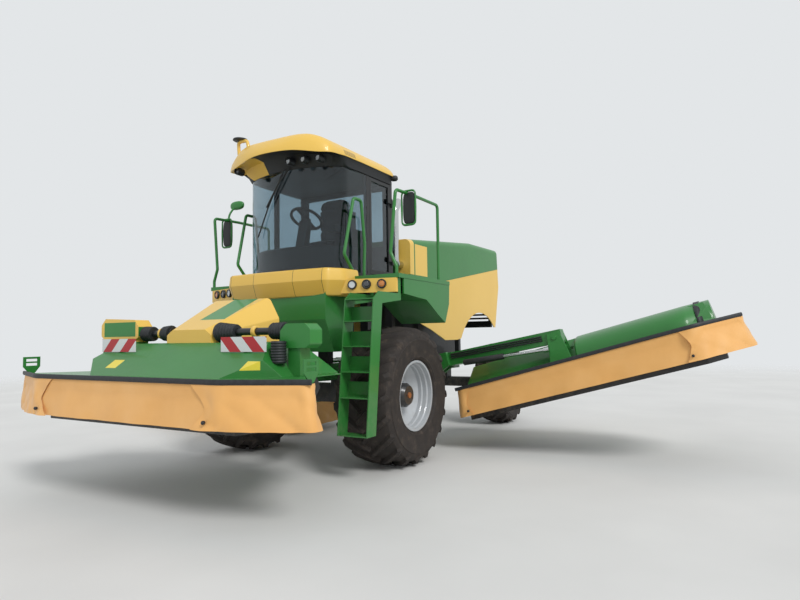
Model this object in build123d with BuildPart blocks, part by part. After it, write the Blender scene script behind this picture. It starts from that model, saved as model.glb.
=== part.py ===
"""Self-propelled mower conditioner with a front mower and two side mowers.

Millimetres. Forward is -Y, the driver's left is +X, up is +Z, and the wheels stand on z = 0.
Y values below are measured from the front axle. Each piece is moved by ORIGIN_Y when it is
written, so that the frame's origin lies on the ground under the middle of the whole machine.
"""
from build123d import *
import math
import os

os.makedirs("parts", exist_ok=True)

# Driving dimensions of the carrier vehicle
WHEELBASE = 3650
FRONT_TYRE_RADIUS = 807
FRONT_TYRE_WIDTH = 710
FRONT_RIM_RADIUS = 395
FRONT_TRACK = 2290
REAR_TYRE_RADIUS = 680
REAR_TYRE_WIDTH = 500
REAR_RIM_RADIUS = 330
REAR_TRACK = 2240
ORIGIN_Y = 835

# Driving dimensions of the frame and the rear hood
RAIL_INNER_X = 300
RAIL_OUTER_X = 420
RAIL_BOTTOM_Z = 980
RAIL_TOP_Z = 1180
RAIL_FRONT_Y = -780
RAIL_REAR_Y = 4250
HOOD_HALF_WIDTH = 800
HOOD_FRONT_Y = 1080
HOOD_REAR_Y = 4540
HOOD_WALL = 14
ENGINE_LENGTH = 1350
ENGINE_WIDTH = 820
ENGINE_HEIGHT = 950

# Driving dimensions of the cab and the platforms
CAB_HALF_WIDTH = 765
CAB_FLOOR_Z = 2200
CAB_SILL_Z = 2275
CAB_HEAD_Z = 3520
CAB_TOP_Z = 3570
CAB_PILLAR_Y = 40
CAB_REAR_Y = 660
CAB_WALL = 50
GLASS = 8
ROOF_TOP_Z = 3955
PLATFORM_OUTER_X = 1480
PLATFORM_TOP_Z = 2200
PLATFORM_THICKNESS = 50
PLATFORM_FRONT_Y = -420
PLATFORM_REAR_Y = 900

# Driving dimensions of the side mowers, drawn lowered and on the left
PIVOT_X = 800
PIVOT_Z = 1100
PIVOT_PIN_RADIUS = 40
SIDE_RESTS = {
    # side: turn of the boom about its pivot, turn of the mower on the boom's head pin
    "left": (15.3, 0.0),
    "right": (-4.73, 4.73),
}
HEAD_PIN = (2740, 935)
HEAD_PIN_RADIUS = 30
SIDE_EDGE_Y = 1000
SIDE_LIFT = 160
BOOM_Y = 1400
BOOM_HALF_WIDTH = 80
BOOM_END_X = 2830

# Driving dimensions of the front mower, drawn lifted as it is carried
FRONT_EDGE_Y = -2810
FRONT_LIFT = 705
LINK_LENGTH = 700
LINK_ANGLE = 22.9
LINK_CHASSIS_Y = -870
LOWER_LINK_Z = 720
UPPER_LINK_Z = 1040

# Driving dimensions that all mowers share: distances behind the front edge and heights above ground
COVER_Z = 455
COVER_THICKNESS = 10
CUTTER_BACK = (160, 420)
CUTTER_Z = (30, 90)
DISC_BACK = 290
DISC_RADIUS = 165
PLATE_BACK = (480, 1150)
BEAM_BACK = (485, 556)
BEAM_Z = (365, COVER_Z - COVER_THICKNESS)
END_PLATE = 20
ROTOR_RADIUS = 280
ROTOR_TUBE_RADIUS = 100
TINE_ROWS = 6
TINES_PER_ROW = 14
TINE_WIDTH = 74
TINE_FOOT = 92
TINE_ANGLE = 84
TINE_THICKNESS = 12
ROTOR_SHAFT_RADIUS = 30
ROTOR_BACK = 850
ROTOR_Z = 380
SKIRT_HEIGHT = 335
SKIRT_FLARE = 60
SKIRT_THICKNESS = 10

# Clearances
RUNNING_FIT = 0.05
SNUG_GAP = 0.3
MOVING_GAP = 6


def block(x, y, z, mode=Mode.ADD):
    """A box given by its lowest and highest x, y and z."""
    with Locations(((x[0] + x[1]) / 2, (y[0] + y[1]) / 2, (z[0] + z[1]) / 2)):
        Box(x[1] - x[0], y[1] - y[0], z[1] - z[0], mode=mode)


def slab(plane, outline, thickness, mode=Mode.ADD):
    """A flat plate: an outline drawn on a plane, given its thickness along the plane's normal."""
    with BuildSketch(plane) as profile:
        with BuildLine():
            Polyline(*outline, close=True)
        make_face()
    extrude(profile.sketch, amount=thickness, mode=mode)


def bar(start, end, radius, mode=Mode.ADD):
    """A round bar from one point to another."""
    along = Vector(*end) - Vector(*start)
    with BuildSketch(Plane(origin=start, z_dir=along)) as profile:
        Circle(radius)
    extrude(profile.sketch, amount=along.length, mode=mode)


def bent_tube(points, bend, radius):
    """A round tube along straight runs joined by arcs."""
    with BuildLine() as route:
        FilletPolyline(*points, radius=bend)
    with BuildSketch(Plane(origin=route.line @ 0, z_dir=route.line % 0)) as profile:
        Circle(radius)
    sweep(profile.sketch, path=route.line)


def side_plane(x):
    """A plane for side views: its outlines are in Y and Z, and it faces +X."""
    return Plane.YZ.offset(x)


def rear_plane(y):
    """A plane for end views: its outlines are in X and Z, and it faces -Y."""
    return Plane.XZ.offset(-y)


def top_plane(z):
    """A plane for plan views: its outlines are in X and Y, and it faces +Z."""
    return Plane.XY.offset(z)


def both_sides(low, high):
    """The same span of x on the left and on the right."""
    return (low, high), (-high, -low)


def save(piece, name):
    """Move a finished piece to the frame's origin, label it and write it."""
    placed = piece.moved(Location((0, -ORIGIN_Y, 0)))
    placed.label = name
    export_step(placed, f"parts/{name}.step")


def save_side(piece, name, side, on_head=True):
    """Write a piece of a side unit: turned on the boom's head pin, then with the boom, mirrored for the right."""
    tilt, head_turn = SIDE_RESTS[side]
    placed = piece
    if on_head:
        placed = placed.rotate(Axis((HEAD_PIN[0], 0, HEAD_PIN[1]), (0, -1, 0)), head_turn)
    placed = placed.rotate(Axis((PIVOT_X, 0, PIVOT_Z), (0, -1, 0)), tilt)
    if side == "right":
        placed = placed.mirror(Plane.YZ)
    save(placed, f"{name}_{side}")


# Wheels. Each rim carries its hub, which turns on the axle's stub.
HUB_HALF_LENGTH = 75
HUB_RADIUS = 130
STUB_RADIUS = 60
STUB_PAST_CENTRE = 50
HOUSING_LENGTH = 205
HUB_CAP_RADIUS = 34
RIM_WALL = 14
RIM_STEP = 12
RIM_LIP = 12
BEAD_SHARE = 0.40
LUG_HEIGHT = 42
FRONT_LUGS = 20
REAR_LUGS = 18
LUG_PLAN = (
    # one lug seen from above, as shares of the tyre's width: it leads at the middle
    (0.017, -0.183), (0.017, -0.085), (0.338, 0.127), (0.51, 0.166), (0.51, 0.056), (0.338, 0.021),
)
WHEELS = (
    # name, side, y, track, tyre radius, tyre width, rim radius
    ("front_left", 1, 0, FRONT_TRACK, FRONT_TYRE_RADIUS, FRONT_TYRE_WIDTH, FRONT_RIM_RADIUS),
    ("front_right", -1, 0, FRONT_TRACK, FRONT_TYRE_RADIUS, FRONT_TYRE_WIDTH, FRONT_RIM_RADIUS),
    ("rear_left", 1, WHEELBASE, REAR_TRACK, REAR_TYRE_RADIUS, REAR_TYRE_WIDTH, REAR_RIM_RADIUS),
    ("rear_right", -1, WHEELBASE, REAR_TRACK, REAR_TYRE_RADIUS, REAR_TYRE_WIDTH, REAR_RIM_RADIUS),
)


def section_plane(side, y, track, radius):
    """A plane through a wheel's axis: its outlines are outward distance and radius."""
    return Plane(origin=(side * track / 2, y, radius), x_dir=(side, 0, 0), z_dir=(0, -side, 0))


def tyre_section(radius, width, rim_radius, depth):
    """Half section of a tyre about the X axis, with its tread lowered by depth."""
    wall = radius - rim_radius
    bead, shoulder, flank = BEAD_SHARE * width, 0.47 * width, width / 2 - depth / 3
    tread_edge = radius - 0.10 * wall - depth
    with BuildSketch(section_plane(1, 0, 0, 0)) as section:
        with BuildLine():
            Polyline(
                (-shoulder, tread_edge),
                (-flank, radius - 0.30 * wall),
                (-flank, rim_radius + 0.35 * wall),
                (-bead, rim_radius),
                (bead, rim_radius),
                (flank, rim_radius + 0.35 * wall),
                (flank, radius - 0.30 * wall),
                (shoulder, tread_edge),
            )
            ThreePointArc((shoulder, tread_edge), (0, radius - depth), (-shoulder, tread_edge))
        make_face()
    return section.sketch


def lugged_tyre(radius, width, rim_radius, lugs):
    """A tyre about the X axis: two rows of slanted lugs, cut to the tread's crown, on the turned body."""
    with BuildPart() as crown:
        revolve(tyre_section(radius, width, rim_radius, 0), axis=Axis.X)
    with BuildPart() as lug:
        slab(top_plane(radius - 2.5 * LUG_HEIGHT), [(x * width, y * width) for x, y in LUG_PLAN], 4 * LUG_HEIGHT)
    rows = [
        row.rotate(Axis.X, turn + 360 * count / lugs)
        for row, turn in ((lug.part, 0), (lug.part.mirror(Plane.YZ), 180 / lugs))
        for count in range(lugs)
    ]
    with BuildPart() as tyre:
        revolve(tyre_section(radius, width, rim_radius, LUG_HEIGHT), axis=Axis.X)
        add(crown.part & (Part() + rows))
    return tyre.part


tyres = {
    FRONT_TYRE_RADIUS: lugged_tyre(FRONT_TYRE_RADIUS, FRONT_TYRE_WIDTH, FRONT_RIM_RADIUS, FRONT_LUGS),
    REAR_TYRE_RADIUS: lugged_tyre(REAR_TYRE_RADIUS, REAR_TYRE_WIDTH, REAR_RIM_RADIUS, REAR_LUGS),
}
for name, side, y, track, radius, width, rim_radius in WHEELS:
    plane = section_plane(side, y, track, radius)
    axle = Axis((side * track / 2, y, radius), (1, 0, 0))
    bead = BEAD_SHARE * width
    save(tyres[radius].moved(Location((side * track / 2, y, radius))), f"tyre_{name}")

    barrel_outer = rim_radius - SNUG_GAP
    barrel_inner = barrel_outer - RIM_WALL
    lip_start = bead + 9
    lip_end = lip_start + RIM_LIP
    with BuildPart() as rim:
        with BuildSketch(plane):
            with BuildLine():
                Polyline(
                    (-lip_end, barrel_inner),
                    (-lip_end, rim_radius + RIM_LIP),
                    (-lip_start, rim_radius + RIM_LIP),
                    (-lip_start, barrel_outer),
                    (lip_start, barrel_outer),
                    (lip_start, rim_radius + RIM_LIP),
                    (lip_end, rim_radius + RIM_LIP),
                    (lip_end, barrel_inner),
                    (0.36 * width, barrel_inner),
                    (0.34 * width, barrel_inner - RIM_STEP),
                    (0.27 * width, barrel_inner - RIM_STEP),
                    (0.25 * width, barrel_inner - 2 * RIM_STEP),
                    (0.19 * width, barrel_inner - 2 * RIM_STEP),
                    (0.06 * width, 0.62 * rim_radius),
                    (HUB_HALF_LENGTH - 30, HUB_RADIUS + 60),
                    (HUB_HALF_LENGTH - 30, HUB_RADIUS + 10),
                    (HOUSING_LENGTH - 40, HUB_RADIUS + 10),
                    (HOUSING_LENGTH, HUB_RADIUS - 20),
                    (HOUSING_LENGTH, HUB_CAP_RADIUS),
                    (HOUSING_LENGTH + 14, HUB_CAP_RADIUS),
                    (HOUSING_LENGTH + 14, 0),
                    (STUB_PAST_CENTRE + MOVING_GAP, 0),
                    (STUB_PAST_CENTRE + MOVING_GAP, STUB_RADIUS + RUNNING_FIT),
                    (-HUB_HALF_LENGTH, STUB_RADIUS + RUNNING_FIT),
                    (-HUB_HALF_LENGTH, HUB_RADIUS),
                    (HUB_HALF_LENGTH - 50, HUB_RADIUS),
                    (HUB_HALF_LENGTH - 50, HUB_RADIUS + 60),
                    (0.06 * width - 24, 0.62 * rim_radius + 10),
                    (0.17 * width - 10, barrel_inner),
                    close=True,
                )
            make_face()
        revolve(axis=axle)
    save(rim.part, f"rim_{name}")


# Front axle: a beam between the rails, with a final drive and a stub on each side
DRIVE_DRUM_RADIUS = 215
BEAM_HALF_DEPTH = 110
with BuildPart() as front_axle:
    block((-700, 700), (-BEAM_HALF_DEPTH, BEAM_HALF_DEPTH), (FRONT_TYRE_RADIUS - 110, RAIL_BOTTOM_Z - 65))
    for span in both_sides(RAIL_INNER_X, RAIL_OUTER_X):
        block(span, (-BEAM_HALF_DEPTH, BEAM_HALF_DEPTH), (RAIL_BOTTOM_Z - 65, RAIL_BOTTOM_Z))
    for side in (1, -1):
        centre = side * FRONT_TRACK / 2
        drum_end = centre - side * (HUB_HALF_LENGTH + MOVING_GAP)
        bar((side * 690, 0, FRONT_TYRE_RADIUS), (drum_end, 0, FRONT_TYRE_RADIUS), DRIVE_DRUM_RADIUS)
        bar(
            (drum_end, 0, FRONT_TYRE_RADIUS),
            (centre + side * STUB_PAST_CENTRE, 0, FRONT_TYRE_RADIUS),
            STUB_RADIUS,
        )
save(front_axle.part, "front_axle")

# Rear axle: a beam on the frame's centre pivot, with a fork and king pin at each end
KING_PIN_X = 780
KING_PIN_RADIUS = 40
FORK_HALF_WIDTH = 60
FORK_ARM = 64
KNUCKLE_HALF_HEIGHT = 80
AXLE_BEAM_TOP = REAR_TYRE_RADIUS + KNUCKLE_HALF_HEIGHT
with BuildPart() as rear_axle:
    block((-680, 680), (WHEELBASE - 90, WHEELBASE + 90), (REAR_TYRE_RADIUS - 80, AXLE_BEAM_TOP))
    block((-150, 150), (WHEELBASE - 90, WHEELBASE + 90), (AXLE_BEAM_TOP, RAIL_BOTTOM_Z - 60))
    for side in (1, -1):
        for low in (
            REAR_TYRE_RADIUS + KNUCKLE_HALF_HEIGHT + MOVING_GAP,
            REAR_TYRE_RADIUS - KNUCKLE_HALF_HEIGHT - MOVING_GAP - FORK_ARM,
        ):
            span = sorted((side * 620, side * KING_PIN_X))
            block(span, (WHEELBASE - FORK_HALF_WIDTH, WHEELBASE + FORK_HALF_WIDTH), (low, low + FORK_ARM))
            bar((side * KING_PIN_X, WHEELBASE, low), (side * KING_PIN_X, WHEELBASE, low + FORK_ARM),
                FORK_HALF_WIDTH)
        web = sorted((side * 620, side * 680))
        block(
            web,
            (WHEELBASE - FORK_HALF_WIDTH, WHEELBASE + FORK_HALF_WIDTH),
            (REAR_TYRE_RADIUS - 150, REAR_TYRE_RADIUS + 150),
        )
        bar(
            (side * KING_PIN_X, WHEELBASE, REAR_TYRE_RADIUS - 150),
            (side * KING_PIN_X, WHEELBASE, REAR_TYRE_RADIUS + 150),
            KING_PIN_RADIUS,
        )
save(rear_axle.part, "rear_axle")

KNUCKLE_RADIUS = 85
KNUCKLE_DRUM_RADIUS = 120
KNUCKLE_DRUM_START = 110
for side, name in ((1, "left"), (-1, "right")):
    centre = side * REAR_TRACK / 2
    drum_end = centre - side * (HUB_HALF_LENGTH + MOVING_GAP)
    with BuildPart() as knuckle:
        bar(
            (side * KING_PIN_X, WHEELBASE, REAR_TYRE_RADIUS - KNUCKLE_HALF_HEIGHT),
            (side * KING_PIN_X, WHEELBASE, REAR_TYRE_RADIUS + KNUCKLE_HALF_HEIGHT),
            KNUCKLE_RADIUS,
        )
        bar(
            (side * KING_PIN_X, WHEELBASE, REAR_TYRE_RADIUS),
            (side * (KING_PIN_X + KNUCKLE_DRUM_START), WHEELBASE, REAR_TYRE_RADIUS),
            70,
        )
        bar(
            (side * (KING_PIN_X + KNUCKLE_DRUM_START), WHEELBASE, REAR_TYRE_RADIUS),
            (drum_end, WHEELBASE, REAR_TYRE_RADIUS),
            KNUCKLE_DRUM_RADIUS,
        )
        bar(
            (drum_end, WHEELBASE, REAR_TYRE_RADIUS),
            (centre + side * STUB_PAST_CENTRE, WHEELBASE, REAR_TYRE_RADIUS),
            STUB_RADIUS,
        )
        bar(
            (side * KING_PIN_X, WHEELBASE, REAR_TYRE_RADIUS - 2 * KNUCKLE_HALF_HEIGHT),
            (side * KING_PIN_X, WHEELBASE, REAR_TYRE_RADIUS + 2 * KNUCKLE_HALF_HEIGHT),
            KING_PIN_RADIUS + RUNNING_FIT,
            Mode.SUBTRACT,
        )
    save(knuckle.part, f"rear_knuckle_{name}")


# Frame: two box rails and cross members, with the brackets that carry the booms and the front linkage
EAR_THICKNESS = 30
CYLINDER_EYE_WIDTH = 100
BOOM_ARM_INNER = CYLINDER_EYE_WIDTH / 2 + MOVING_GAP
BOOM_ARM_OUTER = 120
BOOM_EARS = (BOOM_Y - BOOM_ARM_OUTER - MOVING_GAP - EAR_THICKNESS, BOOM_Y + BOOM_ARM_OUTER + MOVING_GAP)
LINK_PIN_RADIUS = 30
LOWER_LINK_X = (370, 430)
TOP_LINK_HALF_WIDTH = 30
TOP_LINK_PIN_RADIUS = 25
CYLINDER_BASE_X = 350
CYLINDER_BASE_Z = 700
CYLINDER_PIN_RADIUS = 25
HITCH_Y = 4400
HITCH_PIN_RADIUS = 16
HITCH_PLATES = ((1040, 1065), (1115, 1140))
with BuildPart() as chassis_frame:
    for span in both_sides(RAIL_INNER_X, RAIL_OUTER_X):
        block(span, (RAIL_FRONT_Y, RAIL_REAR_Y), (RAIL_BOTTOM_Z, RAIL_TOP_Z))
    for y in (RAIL_FRONT_Y, 560, 2700, RAIL_REAR_Y - 120):
        block((-RAIL_INNER_X, RAIL_INNER_X), (y, y + 120), (RAIL_BOTTOM_Z, RAIL_TOP_Z))
    block((-RAIL_INNER_X, RAIL_INNER_X), (WHEELBASE - 130, WHEELBASE + 130), (RAIL_BOTTOM_Z - 60, RAIL_TOP_Z))
    for side in (1, -1):
        for y in BOOM_EARS:
            ear = [
                (side * (RAIL_OUTER_X - 1), RAIL_BOTTOM_Z - 120),
                (side * (RAIL_OUTER_X - 1), RAIL_TOP_Z),
                (side * (PIVOT_X + 20), RAIL_TOP_Z),
                (side * (PIVOT_X + 85), PIVOT_Z + 30),
                (side * (PIVOT_X + 85), PIVOT_Z - 60),
            ]
            slab(rear_plane(y + EAR_THICKNESS), ear, EAR_THICKNESS)
            bar(
                (side * PIVOT_X, y - 1, PIVOT_Z),
                (side * PIVOT_X, y + EAR_THICKNESS + 1, PIVOT_Z),
                PIVOT_PIN_RADIUS + RUNNING_FIT,
                Mode.SUBTRACT,
            )
        # Ears of the boom's lift cylinder, below the rail, with its base pin
        for y in (BOOM_Y - BOOM_ARM_INNER - 20, BOOM_Y + BOOM_ARM_INNER):
            block(
                sorted((side * RAIL_INNER_X, side * (CYLINDER_BASE_X + 45))),
                (y, y + 20),
                (CYLINDER_BASE_Z - 45, RAIL_BOTTOM_Z),
            )
        bar(
            (side * CYLINDER_BASE_X, BOOM_Y - BOOM_ARM_INNER, CYLINDER_BASE_Z),
            (side * CYLINDER_BASE_X, BOOM_Y + BOOM_ARM_INNER, CYLINDER_BASE_Z),
            CYLINDER_PIN_RADIUS,
        )
        # Bracket and pin of the front linkage's lower arm
        block(
            sorted((side * 310, side * (LOWER_LINK_X[0] - MOVING_GAP))),
            (LINK_CHASSIS_Y - 40, RAIL_FRONT_Y + 120),
            (LOWER_LINK_Z - 40, RAIL_BOTTOM_Z),
        )
        bar(
            (side * 330, LINK_CHASSIS_Y, LOWER_LINK_Z),
            (side * (LOWER_LINK_X[1] + 6), LINK_CHASSIS_Y, LOWER_LINK_Z),
            LINK_PIN_RADIUS,
        )
        # Ear of the front linkage's top link
        inner = TOP_LINK_HALF_WIDTH + MOVING_GAP
        block(
            sorted((side * inner, side * (inner + 24))),
            (LINK_CHASSIS_Y - 40, RAIL_FRONT_Y),
            (UPPER_LINK_Z - 40, UPPER_LINK_Z + 40),
        )
    bar(
        (-100, LINK_CHASSIS_Y, UPPER_LINK_Z),
        (100, LINK_CHASSIS_Y, UPPER_LINK_Z),
        TOP_LINK_PIN_RADIUS + RUNNING_FIT,
        Mode.SUBTRACT,
    )
    # Rear hitch jaw
    for low, high in HITCH_PLATES:
        block((-60, 60), (RAIL_REAR_Y, HITCH_Y + 50), (low, high))
    block((-60, 60), (RAIL_REAR_Y, RAIL_REAR_Y + 40), (HITCH_PLATES[0][1], HITCH_PLATES[1][0]))
    bar((0, HITCH_Y, HITCH_PLATES[0][0] - 1), (0, HITCH_Y, HITCH_PLATES[1][1] + 1), HITCH_PIN_RADIUS, Mode.SUBTRACT)
save(chassis_frame.part, "chassis_frame")

with BuildPart() as engine_block:
    block((-ENGINE_WIDTH / 2, ENGINE_WIDTH / 2), (2000, 2000 + ENGINE_LENGTH), (RAIL_TOP_Z, RAIL_TOP_Z + ENGINE_HEIGHT))
save(engine_block.part, "engine_block")


# Rear hood: a shell over the engine, green above the slanted seam and yellow panels below it
HOOD_TOP_FRONT_Z = 2860
HOOD_TOP_REAR_Z = 3110
ARCH_CENTRE = (3600, 880)
ARCH_RADIUS = 1010
SEAM = ((HOOD_FRONT_Y, 2155), (HOOD_REAR_Y, 2743))
SEAM_GAP = 1
HOOD_OUTLINE = (
    # y, z of the hood's side view, from the lower front corner
    (HOOD_FRONT_Y, 1750),
    (1694, 1585),
    (2168, 1427),
    (2600, 1427),
    (4200, 1637),
    (4330, 1637),
    (HOOD_REAR_Y, 2400),
    (HOOD_REAR_Y - 60, HOOD_TOP_REAR_Z),
    (3300, HOOD_TOP_REAR_Z - 20),
    (HOOD_FRONT_Y, HOOD_TOP_FRONT_Z),
)


def hood_shell():
    """The whole hood: its side view given its width, hollow from below, with the wheel arches cut."""
    with BuildPart() as shell:
        slab(side_plane(-HOOD_HALF_WIDTH), HOOD_OUTLINE, 2 * HOOD_HALF_WIDTH)
        top_edges = shell.edges().filter_by(lambda e: e.center().Z > HOOD_TOP_FRONT_Z - 40
                                            and abs(abs(e.center().X) - HOOD_HALF_WIDTH) < 1)
        fillet(top_edges, 90)
        inner_half = HOOD_HALF_WIDTH - HOOD_WALL
        inner = [
            (HOOD_FRONT_Y + HOOD_WALL, 1300),
            (HOOD_REAR_Y - 120, 1300),
            (HOOD_REAR_Y - HOOD_WALL - 5, 2400),
            (HOOD_REAR_Y - 60 - HOOD_WALL - 5, HOOD_TOP_REAR_Z - HOOD_WALL - 60),
            (3300, HOOD_TOP_REAR_Z - HOOD_WALL - 80),
            (HOOD_FRONT_Y + HOOD_WALL, HOOD_TOP_FRONT_Z - HOOD_WALL - 60),
        ]
        slab(side_plane(-inner_half), inner, 2 * inner_half, Mode.SUBTRACT)
        bar(
            (-HOOD_HALF_WIDTH - 1, *ARCH_CENTRE),
            (HOOD_HALF_WIDTH + 1, *ARCH_CENTRE),
            ARCH_RADIUS,
            Mode.SUBTRACT,
        )
    return shell.part


def seam_side(above):
    """A big prism on one side of the colour seam, half the seam's gap away from it."""
    (y0, z0), (y1, z1) = SEAM
    slope = (z1 - z0) / (y1 - y0)
    shift = SEAM_GAP / 2 if above else -SEAM_GAP / 2
    far = 5000 if above else 0
    left_y, right_y = HOOD_FRONT_Y - 200, HOOD_REAR_Y + 200
    left_z = z0 + slope * (left_y - y0) + shift
    right_z = z0 + slope * (right_y - y0) + shift
    return [(left_y, left_z), (right_y, right_z), (right_y, far), (left_y, far)]


whole_hood = hood_shell()
with BuildPart() as hood_top:
    add(whole_hood)
    slab(side_plane(-1000), seam_side(True), 2000, Mode.INTERSECT)
save(hood_top.part, "hood_top")

with BuildPart() as hood_side_panels:
    add(whole_hood)
    slab(side_plane(-1000), seam_side(False), 2000, Mode.INTERSECT)
    block((-HOOD_HALF_WIDTH + 60, HOOD_HALF_WIDTH - 60), (0, 6000), (0, 5000), Mode.SUBTRACT)
save(hood_side_panels.part, "hood_side_panels")

# Rear grille between the side panels, and the posts that carry the hood on the rails
with BuildPart() as hood_frame:
    for span in both_sides(RAIL_INNER_X, RAIL_OUTER_X):
        for y in (HOOD_FRONT_Y + 120, 3500):
            block(span, (y, y + 80), (RAIL_TOP_Z, 2300))
    for y in (HOOD_FRONT_Y + 120, 3500):
        block((-HOOD_HALF_WIDTH + HOOD_WALL, HOOD_HALF_WIDTH - HOOD_WALL), (y, y + 80), (2300, 2360))
save(hood_frame.part, "hood_frame")

GRILLE_ROWS = 13
GRILLE_LOW_Z = 1760
GRILLE_PITCH = 68
GRILLE_SLOT = 34
with BuildPart() as rear_grille:
    slab(
        side_plane(-HOOD_HALF_WIDTH + 60),
        [(4250, 1640), (4320, 1640), (HOOD_REAR_Y - 20, 2400), (HOOD_REAR_Y - 20, 2700), (HOOD_REAR_Y - 90, 2700),
         (HOOD_REAR_Y - 90, 2400)],
        2 * HOOD_HALF_WIDTH - 120,
    )
    for row in range(GRILLE_ROWS):
        z = GRILLE_LOW_Z + row * GRILLE_PITCH
        for span in both_sides(30, HOOD_HALF_WIDTH - 120):
            block(span, (4200, HOOD_REAR_Y), (z, z + GRILLE_SLOT), Mode.SUBTRACT)
save(rear_grille.part, "rear_grille")

# Exhaust: a bright pipe behind the cab on the left
EXHAUST_X = 640
EXHAUST_Y = 940
with BuildPart() as exhaust:
    bent_tube(
        [(EXHAUST_X, HOOD_FRONT_Y, 2500), (EXHAUST_X, EXHAUST_Y, 2500), (EXHAUST_X, EXHAUST_Y, 3250),
         (EXHAUST_X, EXHAUST_Y + 120, 3400)],
        75,
        55,
    )
save(exhaust.part, "exhaust")


# Cab. Its plan is drawn once: straight sides, and a curved front that the windscreen follows.
def cab_plan(shrink=0.0, front_only=False):
    """The cab's plan, or its front part only, made smaller all round by shrink."""
    rear = CAB_PILLAR_Y if front_only else CAB_REAR_Y
    with BuildSketch(mode=Mode.PRIVATE) as plan:
        with BuildLine():
            side_x, nose_y = CAB_HALF_WIDTH - 30, -430
            Polyline((side_x, nose_y), (CAB_HALF_WIDTH, CAB_PILLAR_Y), (CAB_HALF_WIDTH, rear + 1),
                     (-CAB_HALF_WIDTH, rear + 1), (-CAB_HALF_WIDTH, CAB_PILLAR_Y), (-side_x, nose_y))
            ThreePointArc((-side_x, nose_y), (0, -640), (side_x, nose_y))
        make_face()
        corners = plan.vertices().filter_by(lambda v: abs(v.Y - nose_y) < 1)
        fillet(corners, 190)
        if shrink:
            offset(amount=-shrink, kind=Kind.INTERSECTION)
    return plan.sketch


def cab_layer(low, high, shrink=0.0, front_only=False, mode=Mode.ADD):
    """A layer of the cab's plan between two heights."""
    with BuildSketch(top_plane(low)) as profile:
        add(cab_plan(shrink, front_only))
    extrude(profile.sketch, amount=high - low, mode=mode)


DOOR_FRONT_Y = CAB_PILLAR_Y + 60
DOOR_REAR_Y = CAB_REAR_Y - 50
with BuildPart() as cab_frame:
    cab_layer(CAB_FLOOR_Z, CAB_SILL_Z)
    cab_layer(CAB_HEAD_Z, CAB_TOP_Z)
    cab_layer(CAB_HEAD_Z, CAB_TOP_Z, 60, mode=Mode.SUBTRACT)
    for span in both_sides(CAB_HALF_WIDTH - CAB_WALL, CAB_HALF_WIDTH):
        block(span, (CAB_PILLAR_Y, DOOR_FRONT_Y), (CAB_SILL_Z, CAB_HEAD_Z))
        block(span, (DOOR_REAR_Y, CAB_REAR_Y), (CAB_SILL_Z, CAB_HEAD_Z))
    block((-CAB_HALF_WIDTH + 1, CAB_HALF_WIDTH - 1), (CAB_REAR_Y - CAB_WALL, CAB_REAR_Y), (CAB_SILL_Z, CAB_HEAD_Z))
    block((-640, 640), (CAB_REAR_Y - 100, CAB_REAR_Y + 100), (2700, 3460), Mode.SUBTRACT)
save(cab_frame.part, "cab_frame")

# Door on the left, hinged at its rear edge
DOOR_GAP = 5
DOOR_THICKNESS = 40
HINGE_X = CAB_HALF_WIDTH + 20
HINGE_Y = DOOR_REAR_Y + 10
HINGE_BARREL = 14
HINGE_PIN = 8
HINGE_HEIGHTS = (2480, 3260)
HINGE_LENGTH = 60
door_span = (DOOR_FRONT_Y + DOOR_GAP, DOOR_REAR_Y - DOOR_GAP)
door_heights = (CAB_SILL_Z + DOOR_GAP, CAB_HEAD_Z - DOOR_GAP)
door_x = (CAB_HALF_WIDTH - DOOR_THICKNESS, CAB_HALF_WIDTH)
with BuildPart() as door_frame:
    block(door_x, door_span, door_heights)
    block(
        (door_x[0] - 1, door_x[1] + 1),
        (door_span[0] + 45, door_span[1] - 45),
        (door_heights[0] + 60, door_heights[1] - 45),
        Mode.SUBTRACT,
    )
    for z in HINGE_HEIGHTS:
        block((CAB_HALF_WIDTH, HINGE_X), (DOOR_REAR_Y - 80, DOOR_REAR_Y - DOOR_GAP), (z, z + HINGE_LENGTH))
        block((CAB_HALF_WIDTH + 6, HINGE_X), (DOOR_REAR_Y - 80, HINGE_Y), (z, z + HINGE_LENGTH))
        bar((HINGE_X, HINGE_Y, z), (HINGE_X, HINGE_Y, z + HINGE_LENGTH), HINGE_BARREL)
        bar(
            (HINGE_X, HINGE_Y, z - 1),
            (HINGE_X, HINGE_Y, z + HINGE_LENGTH + 1),
            HINGE_PIN + RUNNING_FIT,
            Mode.SUBTRACT,
        )
save(door_frame.part, "door_frame")

with BuildPart() as door_glass:
    block(
        (CAB_HALF_WIDTH - 24, CAB_HALF_WIDTH - 24 + GLASS),
        (door_span[0] + 45, door_span[1] - 45),
        (door_heights[0] + 60, door_heights[1] - 45),
    )
save(door_glass.part, "door_glass")

# Hinge ears on the cab, with the pins that the door turns on
with BuildPart() as door_hinges:
    for z in HINGE_HEIGHTS:
        low = z - 40 - 1
        block((CAB_HALF_WIDTH, HINGE_X + 10), (HINGE_Y - 10, CAB_REAR_Y), (low, low + 40))
        bar((HINGE_X, HINGE_Y, low), (HINGE_X, HINGE_Y, z + HINGE_LENGTH + 6), HINGE_PIN)
save(door_hinges.part, "door_hinges")

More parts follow.
